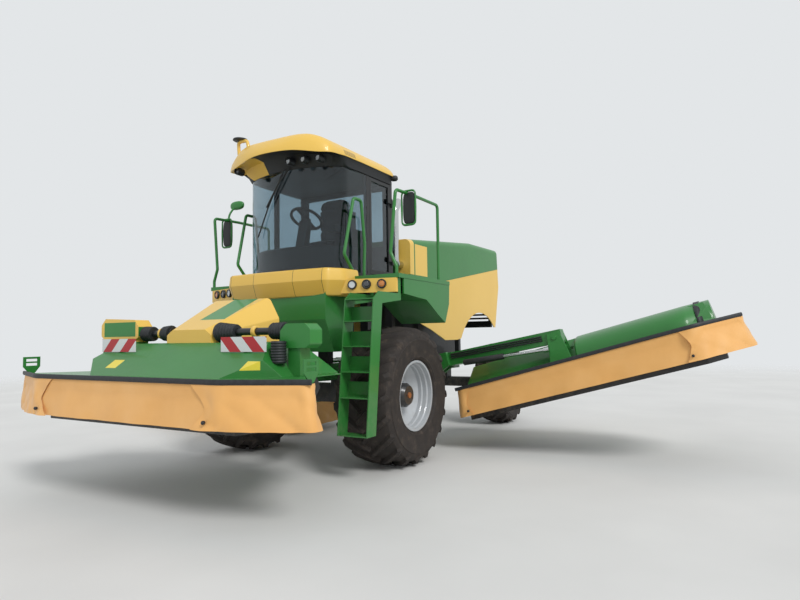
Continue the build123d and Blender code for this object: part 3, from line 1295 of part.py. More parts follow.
def hood_end_z(x):
    """Height of the raised hood's end at a distance from the middle."""
    slope = (x - FRONT_TOP_X[1]) / (FRONT_FOOT_X[1] - FRONT_TOP_X[1])
    return FRONT_HOOD_TOP - min(max(slope, 0), 1) * FRONT_RISE


with BuildPart() as front_drive:
    for side, guard in ((1, GEAR_GUARD), (-1, BELT_GUARD)):
        shaft_end = guard[0][0]
        bar((0, SHAFT_Y, SHAFT_Z), (side * shaft_end, SHAFT_Y, SHAFT_Z), SHAFT_RADIUS)
        for end, way in ((BONNET[0][1], 1), (shaft_end, -1)):
            with BuildSketch(Plane(origin=(side * end, SHAFT_Y, SHAFT_Z), z_dir=(side * way, 0, 0))) as mouth:
                Circle(SHAFT_BELL_RADIUS)
            extrude(mouth.sketch, amount=SHAFT_BELL, taper=10)
        with BuildSketch(rear_plane(SHAFT_Y + GUARD_HALF)) as housing:
            with BuildLine():
                Polyline(*[(side * x, z) for x, z in guard], close=True)
            make_face()
            fillet(housing.vertices(), GUARD_ROUND)
        extrude(housing.sketch, amount=2 * GUARD_HALF)
        post = [(side * POST_X[0], hood_end_z(POST_X[0])), (side * FRONT_FOOT_X[1], hood_end_z(FRONT_FOOT_X[1])),
                (side * POST_X[1], COVER_Z + FRONT_LIFT), (side * POST_X[1], SHAFT_Z), (side * POST_X[0], SHAFT_Z)]
        slab(rear_plane(SHAFT_Y + POST_HALF), post, 2 * POST_HALF)
    block((-BELT_FOOT_X[1], -BELT_FOOT_X[0]), (SHAFT_Y - POST_HALF, SHAFT_Y + POST_HALF), (FRONT_HOOD_TOP, SHAFT_Z))
    bar(*DAMPER, 60)
    add(front_bonnet.part, mode=Mode.SUBTRACT)
    add(front_mower_hood.part, mode=Mode.SUBTRACT)
    add(front_hoods[0], mode=Mode.SUBTRACT)
save(front_drive.part, "front_drive")

# Linkage
ARM_HALF_HEIGHT = 40
with BuildPart() as front_lift_arms:
    angle = math.radians(LINK_ANGLE)
    across = Vector(math.sin(angle), math.cos(angle)) * ARM_HALF_HEIGHT
    ends = (Vector(LINK_CHASSIS_Y, LOWER_LINK_Z), Vector(LINK_END_Y, LOWER_END_Z))
    for side in (1, -1):
        low, high = sorted((side * LOWER_LINK_X[0], side * LOWER_LINK_X[1]))
        corners = [ends[0] - across, ends[0] + across, ends[1] + across, ends[1] - across]
        slab(side_plane(low), [(corner.X, corner.Y) for corner in corners], high - low)
        for end in ends:
            bar((low, end.X, end.Y), (high, end.X, end.Y), LINK_PIN_RADIUS + 18)
        for end in ends:
            bar((low - 1, end.X, end.Y), (high + 1, end.X, end.Y), LINK_PIN_RADIUS + RUNNING_FIT, Mode.SUBTRACT)
    middle = (ends[0] + ends[1]) / 2
    bar((-LOWER_LINK_X[0] - 1, middle.X, middle.Y), (LOWER_LINK_X[0] + 1, middle.X, middle.Y), 35)
save(front_lift_arms.part, "front_lift_arms")

with BuildPart() as front_top_link:
    link_ends = ((LINK_CHASSIS_Y, UPPER_LINK_Z), (LINK_END_Y, UPPER_END_Z))
    bar((0, *link_ends[0]), (0, *link_ends[1]), 24)
    for end in link_ends:
        bar((-TOP_LINK_HALF_WIDTH, *end), (TOP_LINK_HALF_WIDTH, *end), 38)
        bar((-70, *end), (70, *end), TOP_LINK_PIN_RADIUS)
save(front_top_link.part, "front_top_link")
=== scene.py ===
import math

import bmesh
import bpy
import numpy as np
from mathutils import Matrix, Vector


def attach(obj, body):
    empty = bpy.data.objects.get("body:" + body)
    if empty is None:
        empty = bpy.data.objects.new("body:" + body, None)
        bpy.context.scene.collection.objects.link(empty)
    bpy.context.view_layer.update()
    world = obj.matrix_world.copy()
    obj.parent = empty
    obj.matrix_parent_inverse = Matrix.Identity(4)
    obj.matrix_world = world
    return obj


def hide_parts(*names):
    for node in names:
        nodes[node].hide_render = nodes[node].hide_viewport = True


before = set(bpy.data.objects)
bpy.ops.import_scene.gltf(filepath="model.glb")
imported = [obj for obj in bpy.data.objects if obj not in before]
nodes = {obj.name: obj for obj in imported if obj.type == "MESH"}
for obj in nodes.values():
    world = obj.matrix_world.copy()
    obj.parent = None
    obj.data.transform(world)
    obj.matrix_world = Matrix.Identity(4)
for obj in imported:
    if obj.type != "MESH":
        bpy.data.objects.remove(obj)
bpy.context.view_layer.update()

scene = bpy.context.scene

# Pieces are drawn in metres in the source's machine coordinates, with Y from the front axle; the shared
# frame's origin lies this much further back
SHIFT = 0.835
AXLES = {
    # y from the front axle, track, tyre radius and width, rim radius, lugs a side
    "front": (0.0, 2.290, 0.807, 0.710, 0.395, 20),
    "rear": (3.650, 2.240, 0.680, 0.500, 0.330, 18),
}
PIVOT = (0.800, 1.100)
SIDES = {
    # turn of the boom in degrees, shift of the mower in x and z where its head holds it level, sign of x
    "left": (15.3, (0.0, 0.0), 1),
    "right": (0.0, (-0.0202, -0.1595), -1),
    "boom_left": (15.3, (0.0, 0.0), 1),
    "boom_right": (-4.73, (0.0, 0.0), -1),
}

# How a grid's rows and columns close: a sheet, a ring carried along a path, a line or a ring turned round
OPEN, ALONG, ROUND, RING = (False, False), (False, True), (True, False), (True, True)
# Turned profiles stop this far from their line, well apart from the distance at which points merge
CORE, MERGED, DEGENERATE = 0.0001, 1e-5, 1e-6


# Surfaces: each piece is one or more grids of points, worked out as whole arrays
def grid_faces(rows, columns, wrap_rows, wrap_columns):
    """Corner numbers of a grid's quads: each joins its neighbours (u, v), (u+1, v), (u+1, v+1), (u, v+1)."""
    u = np.arange(rows if wrap_rows else rows - 1)[:, None]
    v = np.arange(columns if wrap_columns else columns - 1)[None, :]
    u2, v2 = (u + 1) % rows, (v + 1) % columns
    quads = np.stack([u * columns + v, u2 * columns + v, u2 * columns + v2, u * columns + v2], -1)
    return quads.reshape(-1, 4)


def placed(points, side=None):
    """Points of machine coordinates, moved to the shared frame. With a side named, they are those of a level
    left mower or boom, turned about the boom's pivot or let down level, and mirrored for the right."""
    if side is not None:
        tilt, shift, sign = SIDES[side]
        c, s = math.cos(math.radians(tilt)), math.sin(math.radians(tilt))
        dx, dz = points[..., 0] - PIVOT[0], points[..., 2] - PIVOT[1]
        points = np.stack([PIVOT[0] + dx * c - dz * s + shift[0], points[..., 1],
                           PIVOT[1] + dx * s + dz * c + shift[1]], -1) * np.array([sign, 1.0, 1.0])
    return points - np.array([0.0, SHIFT, 0.0])


def patch(points, wrap=OPEN, material=0, side=None):
    """One grid, or a stack of equal grids, in its place, with how it closes and its material's number."""
    stack = placed(points, side).reshape(-1, *points.shape[-3:])
    rows, columns = stack.shape[1:3]
    offsets = np.arange(len(stack))[:, None, None] * rows * columns
    return stack.reshape(-1, 3), (grid_faces(rows, columns, *wrap)[None] + offsets).reshape(-1, 4), material


def piece(name, patches, materials, body, smooth=40.0, closed=True, uv=None):
    """A mesh of patches, merged and faced outward, riding on a body; edges over smooth degrees are sharp."""
    points, quads, numbers = zip(*patches)
    starts = np.cumsum([0] + [len(stack) for stack in points[:-1]])
    faces = np.concatenate([stack + start for stack, start in zip(quads, starts)])
    indices = np.repeat(numbers, [len(stack) for stack in quads])
    mesh = bpy.data.meshes.new(name)
    mesh.from_pydata(np.concatenate(points), [], faces)
    for material in materials:
        mesh.materials.append(material)
    mesh.polygons.foreach_set("material_index", indices.astype(np.int32))
    if uv is not None:
        layer = mesh.uv_layers.new(name="cut")
        layer.data.foreach_set("uv", uv[faces.reshape(-1)].reshape(-1).astype(np.float32))
    shape = bmesh.new()
    shape.from_mesh(mesh)
    bmesh.ops.remove_doubles(shape, verts=shape.verts, dist=MERGED)
    bmesh.ops.dissolve_degenerate(shape, edges=shape.edges, dist=DEGENERATE)
    if closed:
        bmesh.ops.recalc_face_normals(shape, faces=shape.faces)
    shape.to_mesh(mesh)
    shape.free()
    mesh.shade_smooth()
    mesh.set_sharp_from_angle(angle=math.radians(smooth))
    thing = bpy.data.objects.new(name, mesh)
    scene.collection.objects.link(thing)
    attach(thing, body)
    return thing


def reached(path):
    """How far along a path each of its points lies."""
    return np.concatenate([[0.0], np.cumsum(np.linalg.norm(np.diff(path, axis=0), axis=1))])


def unit(vectors):
    """Vectors, one in a row, brought to length one."""
    return vectors / np.linalg.norm(vectors, axis=1)[:, None]


def averaged(line, half):
    """A running mean over half points before and after each point of a line."""
    kernel = np.ones(2 * half + 1) / (2 * half + 1)
    return np.stack([np.convolve(line[:, k], kernel, "valid") for k in range(line.shape[1])], -1)


def sampled(path, at, s):
    """Points of a path at distances s, straight between its own points at distances at."""
    return np.stack([np.interp(s, at, path[:, k]) for k in range(path.shape[1])], -1)


def rounded_path(corners, step, radius):
    """Points every step along straight runs; a running mean over twice the radius rounds the corners."""
    corners = np.array(corners, float)
    at = reached(corners)
    first, last = unit(corners[1:] - corners[:-1])[[0, -1]]
    s = np.arange(-radius, at[-1] + radius + step, step)
    line = sampled(corners, at, s)
    line += np.minimum(s, 0)[:, None] * first + np.maximum(s - at[-1], 0)[:, None] * last
    return averaged(line, int(radius / step))


def loop_path(corners, count, radius):
    """Points at equal steps round a closed outline, its corners rounded as a path's are."""
    outline = np.concatenate([corners, corners[:1]])
    at = reached(outline)
    line = sampled(outline, at, np.linspace(0.0, at[-1], count, endpoint=False))
    half = int(radius * count / at[-1])
    return averaged(np.concatenate([line[-half:], line, line[:half]]), half)


def at_height(path, z):
    """A level path of (x, y), given a height."""
    return np.pad(path, ((0, 0), (0, 1)), constant_values=z)


def with_ends(rings):
    """Rows of rings, with both end rings drawn in to their middles so that the shape is closed."""
    ends = rings[[0, -1]]
    middles = ends.mean(axis=1, keepdims=True) + 0 * ends
    return np.concatenate([middles[:1], rings, middles[1:]])


def swept(path, profile):
    """A closed profile of (outward, up) carried along a path of (x, y, z): outward lies level, square to the
    path and to its right."""
    tangent = unit(np.gradient(path[:, :2], axis=0))
    normal = np.stack([tangent[:, 1], -tangent[:, 0]], -1)
    level = path[:, None, :2] + normal[:, None] * profile[None, :, :1]
    return with_ends(np.concatenate([level, path[:, None, 2:] + profile[None, :, 1:]], -1))


def tube(path, radius, turns=10):
    """A round tube along a path: path + radius (e1 cos a + e2 sin a), e1 and e2 square to the path."""
    tangent = unit(np.gradient(path, axis=0))
    e1 = unit(np.cross(tangent, [0.31, 0.94, 0.12]))
    e2 = np.cross(tangent, e1)
    a = np.linspace(0, 2 * math.pi, turns, endpoint=False)[None, :, None]
    return with_ends(path[:, None] + radius * (e1[:, None] * np.cos(a) + e2[:, None] * np.sin(a)))


def turned(profile, foot, way, turns=36):
    """A profile of (along, radius) turned about the line from foot in the direction way."""
    way = np.array(way, float) / np.linalg.norm(way)
    e1 = np.cross(way, [0.21, 0.35, 0.91])
    e1 /= np.linalg.norm(e1)
    e2 = np.cross(way, e1)
    a = np.linspace(0, 2 * math.pi, turns, endpoint=False)[:, None, None]
    profile = np.array(profile, float)[None]
    return np.array(foot) + profile[..., :1] * way + profile[..., 1:] * (e1 * np.cos(a) + e2 * np.sin(a))


def pillow(centre, half, power, rows=40, columns=56):
    """A superellipsoid: centre + half * signed powers of the sines and cosines of two angles."""
    v = np.linspace(-math.pi / 2, math.pi / 2, rows)[:, None]
    u = np.linspace(-math.pi, math.pi, columns, endpoint=False)[None, :]
    (cv, sv), (cu, su) = ([np.sign(f) * np.abs(f) ** power for f in (np.cos(a), np.sin(a))] for a in (v, u))
    return np.array(centre) + np.stack([cv * cu, cv * su, sv + 0 * u], -1) * np.array(half)


# Materials
def linear(code):
    """An sRGB hex colour as linear red, green, blue and alpha."""
    s = np.array([int(code[k:k + 2], 16) for k in (1, 3, 5)]) / 255
    rgb = np.where(s <= 0.04045, s / 12.92, ((s + 0.055) / 1.055) ** 2.4)
    return (*rgb.tolist(), 1.0)


def adjust(thing, **values):
    """Sets attributes of one thing."""
    for name, value in values.items():
        setattr(thing, name, value)


def fill(tree, node, inputs):
    """Fills a node's inputs, by name or number, with a value or a link: from an output, or a node's first."""
    for name, value in inputs.items():
        if isinstance(value, bpy.types.Node):
            value = value.outputs[0]
        if isinstance(value, bpy.types.NodeSocket):
            tree.links.new(value, node.inputs[name])
        else:
            node.inputs[name].default_value = value


def add(tree, kind, inputs=None, stops=None, **settings):
    """Adds one shader node with its settings, its inputs and its ramp's stops of (place, sRGB hex colour)."""
    node = tree.nodes.new("ShaderNode" + kind)
    adjust(node, **settings)
    fill(tree, node, inputs or {})
    if stops:
        elements = node.color_ramp.elements
        while len(elements) < len(stops):
            elements.new(0.5)
        for element, (place, colour) in zip(elements, stops):
            adjust(element, position=place, color=linear(colour))
    return node


def blank(name):
    """An empty material with its tree, the principled shader on its output, and its Object coordinates."""
    material = bpy.data.materials.new(name)
    material.use_nodes = True
    tree = material.node_tree
    tree.nodes.clear()
    shader = add(tree, "BsdfPrincipled")
    add(tree, "OutputMaterial", {"Surface": shader})
    return material, tree, shader, add(tree, "TexCoord").outputs["Object"]


def shade(tree, shader, **values):
    """Sets or links the shader's own sockets."""
    fill(tree, shader, {name.replace("_", " "): value for name, value in values.items()})


def round_field(foot, plane, radius):
    """A mask: 1 within a radius of a line through foot, seen along the line; plane is 1 across the line."""
    def mask(tree, where):
        shifted = add(tree, "VectorMath", {0: where, 1: foot}, operation="SUBTRACT")
        flat = add(tree, "VectorMath", {0: shifted, 1: plane}, operation="MULTIPLY")
        far = add(tree, "VectorMath", {0: flat}, operation="LENGTH")
        return add(tree, "Math", {0: far.outputs["Value"], 1: radius}, operation="LESS_THAN")
    return mask


def box_field(*limits, one_side=False):
    """A mask: 1 inside a box with these (low, high) along x, y and z, on both sides of the machine or one."""
    def mask(tree, where):
        places = list(add(tree, "SeparateXYZ", {0: where}).outputs)
        if not one_side:
            places[0] = add(tree, "Math", {0: places[0]}, operation="ABSOLUTE")
        inside = 1.0
        for place, (low, high) in zip(places, limits):
            over = add(tree, "Math", {0: place, 1: low}, operation="GREATER_THAN")
            under = add(tree, "Math", {0: place, 1: high}, operation="LESS_THAN")
            between = add(tree, "Math", {0: over, 1: under}, operation="MULTIPLY")
            inside = add(tree, "Math", {0: inside, 1: between}, operation="MULTIPLY")
        return inside
    return mask


def enamel(name, paint, fields=()):
    """Sprayed enamel on sheet metal or moulded panels: an even colour that drifts a little over a metre,
    a faint orange peel (drawn at 9 mm, coarser than the real 2 mm so that it shows) and road dust low down.
    Fields are masks with the colour that lies over the paint there."""
    colour, shadow, rough, coat, grit = paint
    material, tree, shader, where = blank(name)
    drift = add(tree, "TexNoise", {"Vector": where, "Scale": 1.3, "Detail": 3.0})
    tone = add(tree, "Mix", {0: drift, 6: linear(colour), 7: linear(shadow)}, data_type="RGBA").outputs[2]
    for mask, over in fields:
        tone = add(tree, "Mix", {0: mask(tree, where), 6: tone, 7: linear(over)}, data_type="RGBA").outputs[2]
    parts = add(tree, "SeparateXYZ", {0: where})
    low = add(tree, "MapRange", {"Value": parts.outputs["Z"], "From Min": 1.3, "From Max": 0.1})
    flecks = add(tree, "TexNoise", {"Vector": where, "Scale": 14.0, "Detail": 6.0, "Roughness": 0.65})
    patchy = add(tree, "MapRange", {"Value": flecks, "From Min": 0.4, "From Max": 0.75})
    amount = add(tree, "Math", {0: low, 1: patchy}, operation="MULTIPLY")
    dusty = add(tree, "Math", {0: amount, 1: grit * 3}, operation="MULTIPLY", use_clamp=True)
    mixed = add(tree, "Mix", {0: dusty, 6: tone, 7: linear(DUST)}, data_type="RGBA")
    gloss = add(tree, "MapRange", {"Value": flecks, "To Min": rough, "To Max": rough + grit})
    peel = add(tree, "TexNoise", {"Vector": where, "Scale": 110.0, "Detail": 2.0})
    edge = add(tree, "Bevel", {"Radius": 0.006}, samples=4)
    bump = add(tree, "Bump", {"Height": peel, "Strength": 0.05, "Distance": 0.002, "Normal": edge})
    shade(tree, shader, Base_Color=mixed.outputs[2], Roughness=gloss, Normal=bump, IOR=1.5, Coat_Weight=coat,
          Coat_Roughness=0.06, Coat_IOR=1.5)
    return material


# Paints: colour, the shade it drifts to, roughness, clear coat and grit
GREEN = ("#2d8034", "#276f2d", 0.36, 0.25, 0.12)
DRIVE_GREEN = (*GREEN[:3], 0.20, 0.12)
YELLOW = ("#edc25a", "#e4b84b", 0.36, 0.30, 0.12)
SILVER = ("#bcc0c3", "#adb1b4", 0.36, 0.30, 0.12)
BLACK = ("#222426", "#1b1c1e", 0.45, 0.20, 0.20)
GREY = ("#55585a", "#45484a", 0.50, 0.10, 0.25)
# Black for the roof's underside: partly black moulding, partly painted shade of the recess under the brow
UNDERSIDE_BLACK_AND_SHADE = ("#191b1d", "#1f2124", 0.50, 0.00, 0.12)
# Single colours that lie over them
DUST, SEAM, SLOT, LABEL, BROW_YELLOW = "#8f8473", "#5c4f2c", "#3a3220", "#e8d23c", "#e0b548"
HUB, CAP_ORANGE, SHAFT_BLACK = "#202123", "#9a5a2a", "#1f2022"
# The cross shafts' y and z, and the x and y of the upright shaft of the left gear post
SHAFT_LINE = (-1.950, 1.560)
POST_LINE = (1.225, -2.100)

green_enamel = enamel("green_enamel_sprayed", GREEN)
yellow_enamel = enamel("yellow_enamel_sprayed", YELLOW)
black_enamel = enamel("black_chassis_enamel", BLACK)
rotor_enamel = enamel("grey_rotor_enamel", GREY)
# Places in the shared frame
cowl_enamel = enamel("yellow_enamel_with_panel_seams", YELLOW, [
    (box_field((x, x + 0.006), (-2.0, -1.0), (1.9, 2.4)), SEAM) for x in (0.300, 0.700)])
roof_enamel = enamel("yellow_enamel_with_vent_slots", YELLOW, [
    (box_field((0.75, 0.90), (-1.300, -1.080), (z, z + 0.007)), SLOT) for z in (3.648, 3.664, 3.680, 3.696)])
wheel_enamels = {
    end: enamel(f"silver_wheel_enamel_{end}", SILVER, [
        (round_field((0.0, y - SHIFT, radius), (0, 1, 1), 0.150), HUB),
        (round_field((0.0, y - SHIFT, radius), (0, 1, 1), 0.036), CAP_ORANGE)])
    for end, (y, _, radius, *_) in AXLES.items()}
hood_enamel = enamel("green_enamel_with_yellow_panel", GREEN, [
    (box_field((0.60, 1.2), (-0.14, 0.36), (2.36, 2.86)), YELLOW[0]),
    (box_field((0.60, 1.2), (0.39, 0.76), (2.36, 2.80)), YELLOW[0])])
bonnet_enamel = enamel("yellow_enamel_with_green_inlay", YELLOW, [
    (box_field((-0.080, 0.270), (-2.660, -2.170), (1.60, 2.0), one_side=True), GREEN[0])])
front_hood_enamel = enamel("green_enamel_with_blank_labels", GREEN, [
    (box_field(x, (-3.4, -2.9), (1.225, 1.300), one_side=True), LABEL)
    for x in ((-0.800, -0.640), (1.040, 1.180))])
drive_enamel = enamel("green_enamel_with_rubber_shafts", DRIVE_GREEN, [
    (round_field((0.0, SHAFT_LINE[0] - SHIFT, SHAFT_LINE[1]), (0, 1, 1), 0.0675), SHAFT_BLACK),
    (box_field((1.186, 1.600), (-3.2, -2.5), (1.400, 1.640), one_side=True), GREEN[0]),
    (box_field((-1.430, -0.776), (-3.2, -2.5), (1.480, 1.750), one_side=True), YELLOW[0]),
    (box_field((-1.360, -0.825), (-3.2, -2.5), (1.535, 1.690), one_side=True), GREEN[0]),
    (round_field((POST_LINE[0], POST_LINE[1] - SHIFT, 0.0), (1, 1, 0), 0.062), SHAFT_BLACK)])
# Roof underside: black as moulding and as painted shade of the recess under the brow, yellow under one end of
# it
under_enamel = enamel("black_moulding_and_painted_shade_with_yellow_ends", UNDERSIDE_BLACK_AND_SHADE, [
    (box_field((-1.2, -0.24), (-2.0, -1.35), (3.0, 4.0), one_side=True), BROW_YELLOW)])
frame_enamel = enamel("black_enamel_with_green_head", BLACK, [
    (box_field((2.50, 3.10), (-1.0, 3.0), (1.08, 2.2), one_side=True), GREEN[0]),
    (box_field((-3.10, -2.50), (-1.0, 3.0), (0.55, 2.2), one_side=True), GREEN[0])])


def rubber():
    """Vulcanised tyre rubber: matt brown-black, dusty in patches of a hand's width, grained at 4 mm."""
    material, tree, shader, where = blank("tyre_rubber_vulcanised")
    patchy = add(tree, "TexNoise", {"Vector": where, "Scale": 9.0, "Detail": 7.0, "Roughness": 0.7})
    colour = add(tree, "ValToRGB", {"Fac": patchy}, [(0.35, "#2b2725"), (0.55, "#352f2b"), (0.78, "#554a41")])
    grain = add(tree, "TexNoise", {"Vector": where, "Scale": 260.0, "Detail": 3.0})
    bump = add(tree, "Bump", {"Height": grain, "Strength": 0.25, "Distance": 0.002})
    shade(tree, shader, Base_Color=colour, Normal=bump, Roughness=0.78, IOR=1.52, Specular_IOR_Level=0.35)
    return material


def skirt_cloth():
    """Polyester cloth coated with PVC on both sides: an even beige-orange with a soft shine. The weave's
    threads, really 1 mm, are drawn 4 mm apart so that they show; stains and soft creases are 300 mm wide."""
    material, tree, shader, where = blank("pvc_coated_polyester_cloth")
    stain = add(tree, "TexNoise", {"Vector": where, "Scale": 3.2, "Detail": 3.0})
    colour = add(tree, "ValToRGB", {"Fac": stain}, [(0.30, "#e5aa5f"), (0.52, "#eab066"), (0.75, "#edb56e")])
    cut = add(tree, "TexCoord").outputs["UV"]
    warp, weft = (add(tree, "TexWave", {"Vector": cut, "Scale": 80.0}, bands_direction=way) for way in "XY")
    threads = add(tree, "Math", {0: warp.outputs["Fac"], 1: weft.outputs["Fac"]}, operation="MAXIMUM")
    weave = add(tree, "Bump", {"Height": threads, "Strength": 0.12, "Distance": 0.001})
    creases = add(tree, "TexNoise", {"Vector": where, "Scale": 3.0, "Detail": 2.0, "Distortion": 0.8})
    bump = add(tree, "Bump", {"Height": creases, "Strength": 0.15, "Distance": 0.02, "Normal": weave})
    shade(tree, shader, Base_Color=colour, Normal=bump, Roughness=0.55, IOR=1.5, Sheen_Weight=0.15,
          Sheen_Roughness=0.5)
    return material


def polished_chrome():
    """Hard chrome on a ground rod, and polished pipe: a bright mirror whose gloss varies every 6 mm."""
    material, tree, shader, where = blank("hard_chrome_ground")
    marks = add(tree, "TexNoise", {"Vector": where, "Scale": 160.0, "Detail": 3.0})
    rough = add(tree, "MapRange", {"Value": marks, "To Min": 0.12, "To Max": 0.26})
    shade(tree, shader, Base_Color=linear("#c9cbcc"), Metallic=1.0, Roughness=rough)
    return material


def striped_sheeting():
    """Retroreflective sheeting on a board: red and white bands 100 mm wide at 45 degrees, a pair of them to
    280 mm along the board, set with glass beads whose fine sparkle is painted into the colour as lighter and
    darker cells, drawn at 5 mm."""
    material, tree, shader, where = blank("retroreflective_sheeting")
    parts = add(tree, "SeparateXYZ", {0: where})
    width = add(tree, "Math", {0: parts.outputs["X"]}, operation="ABSOLUTE")
    slant = add(tree, "Math", {0: width, 1: parts.outputs["Z"]}, operation="ADD")
    turn = add(tree, "Math", {0: slant, 1: 1 / 0.28}, operation="MULTIPLY")
    phase = add(tree, "Math", {0: turn}, operation="FRACT")
    band = add(tree, "Math", {0: phase, 1: 0.5}, operation="GREATER_THAN")
    # Painted sparkle: each band's colour turns lighter and darker cell by cell
    beads = add(tree, "TexVoronoi", {"Vector": where, "Scale": 200.0})
    white, red = (add(tree, "Mix", {0: beads, 6: linear(light), 7: linear(dark)}, data_type="RGBA").outputs[2]
                  for light, dark in (("#e4e5e6", "#d3d5d7"), ("#c4222a", "#a81d22")))
    mixed = add(tree, "Mix", {0: band, 6: white, 7: red}, data_type="RGBA")
    shade(tree, shader, Base_Color=mixed.outputs[2], Roughness=0.4, IOR=1.5, Coat_Weight=0.1)
    return material


def grained(name, kind, pattern, stops, strength, distance, **sockets):
    """A material with one pattern, which gives both its colour, through a ramp's stops, and its relief."""
    material, tree, shader, where = blank(name)
    grain = add(tree, kind, {"Vector": where, **pattern}).outputs[1 if kind == "TexWave" else 0]
    colour = add(tree, "ValToRGB", {"Fac": grain}, stops)
    bump = add(tree, "Bump", {"Height": grain, "Strength": strength, "Distance": distance})
    shade(tree, shader, Base_Color=colour, Normal=bump, **sockets)
    return material


def lens(name, dark, light):
    """Moulded polycarbonate lamp lens over its reflector, ribbed every 8 mm."""
    return grained(name, "TexWave", {"Scale": 40.0}, [(0.2, dark), (0.8, light)], 0.3, 0.003, Roughness=0.12,
                   IOR=1.58, Coat_Weight=1.0)


tyre_rubber = rubber()
cloth = skirt_cloth()
chrome = polished_chrome()
board_sheeting = striped_sheeting()
# Extruded EPDM rubber strip: nearly black, with a dull shine and a faint mottle 30 mm across
black_rubber = grained("epdm_rubber_extruded", "TexNoise", {"Scale": 30.0, "Detail": 3.0},
                       [(0.3, "#1d1f22"), (0.7, "#2c2e31")], 0.15, 0.002, Roughness=0.55, IOR=1.5)
# Float glass, lightly tinted blue-grey: clear and mirror-smooth, with the faintest waviness over 500 mm
glass = grained("float_glass_tinted", "TexNoise", {"Scale": 2.0, "Detail": 1.0},
                [(0.3, "#a6b9c2"), (0.7, "#b3c4cc")], 0.03, 0.01, Roughness=0.02, IOR=1.45,
                Transmission_Weight=1.0)
# Woven polyester cushion cloth: charcoal with a 3 mm rib, soft to the eye
cushion_cloth = grained("woven_polyester_cushion_cloth", "TexWave", {"Scale": 100.0},
                        [(0.0, "#26272a"), (1.0, "#3b3c40")], 0.3, 0.002, Roughness=0.85, Sheen_Weight=0.3)
# Injection-moulded polypropylene: black with a fine leather grain, drawn at 5 mm so that it shows
black_plastic = grained("black_polypropylene_moulded", "TexVoronoi", {"Scale": 200.0},
                        [(0.0, "#1b1c1e"), (0.9, "#27292b")], 0.2, 0.001, Roughness=0.5, IOR=1.49)
lamp_lens = lens("clear_polycarbonate_lens", "#bfc5c8", "#e6e9ea")
smoked_lens = lens("smoked_polycarbonate_lens", "#2a2c30", "#3a3d42")
amber_lens = lens("amber_polycarbonate_lens", "#b9651f", "#d98a35")


def pair(*stems):
    """The names of nodes that come as a left and a right one."""
    return tuple(f"{stem}_{side}" for stem in stems for side in ("left", "right"))


FINISHES = (
    (green_enamel, ("nose_shell", "platforms", "handrails", "mirrors", "ladder", "front_lift_arms",
                    "chassis_frame", *pair("side_boom", "side_mower_hood"))),
    (hood_enamel, ("hood_top",)),
    (front_hood_enamel, ("front_mower_hood",)),
    (bonnet_enamel, ("front_bonnet",)),
    (drive_enamel, ("front_drive",)),
    (yellow_enamel, ("hood_side_panels", "nose_band", "cab_roof")),
    (black_enamel, ("front_axle", "rear_axle", "hood_frame", "cab_subframe", "front_top_link", "engine_block",
                    "cab_fittings", "cab_frame", "door_frame", "door_hinges", "rear_grille",
                    "front_mower_frame", *pair("rear_knuckle", "lift_barrel"))),
    (frame_enamel, pair("side_mower_frame")),
    (wheel_enamels["front"], pair("rim_front")),
    (wheel_enamels["rear"], pair("rim_rear")),
    (rotor_enamel, ("front_rotor", *pair("side_rotor"))),
    (chrome, ("exhaust", *pair("lift_rod"))),
    (glass, ("door_glass", "cab_glass")),
    (lamp_lens, ("lamps",)),
    (board_sheeting, ("hazard_boards",)),
    (tyre_rubber, pair("tyre_front", "tyre_rear")),
    (cloth, ("front_mower_skirt", *pair("side_mower_skirt"))),
    (cushion_cloth, ("seat_cushion",)),
)
for material, names in FINISHES:
    for name in names:
        thing = nodes[name]
        if not thing.material_slots:
            thing.data.materials.append(material)
        for used in thing.material_slots:
            used.material = material


# Tyres: a carcass turned about the axle, and slanted lugs whose tops follow the source's outline
LUG_HEIGHT = 0.042
BEAD = 0.002
SIDE_WALL = 0.497
CARCASS_TURNS = 96


def tyre_outline(radius, width, rim):
    """Half of the carcass from its middle to its bead as (outward, radius), with ridges on the side wall."""
    wall = radius - rim
    deep = radius - LUG_HEIGHT
    return np.array([
        (0.0, deep), (0.24, deep - 0.008), (0.38, deep - 0.020), (0.455, deep - 0.045),
        (0.485, radius - 0.30 * wall), (0.487, radius - 0.36 * wall), (0.500, radius - 0.38 * wall),
        (0.500, radius - 0.41 * wall), (0.496, radius - 0.43 * wall), (0.499, radius - 0.55 * wall),
        (0.494, rim + 0.30 * wall), (0.475, rim + 0.17 * wall), (0.478, rim + 0.13 * wall),
        (0.455, rim + 0.08 * wall), (0.43, rim + 0.065 * wall), (0.40, rim + BEAD)]) * [width, 1.0]


def carcass(half, width, rim):
    """Both halves of the outline as one ring, turned about the axle: y = -r cos a, z = r sin a."""
    outline = np.concatenate([half[::-1] * [-1, 1], half[1:], [(0.0, rim + BEAD)]])
    a = np.linspace(0, 2 * math.pi, CARCASS_TURNS, endpoint=False)[:, None]
    x, r = outline[None, :, 0], outline[None, :, 1]
    return np.stack([x + 0 * a, -r * np.cos(a), r * np.sin(a)], -1)


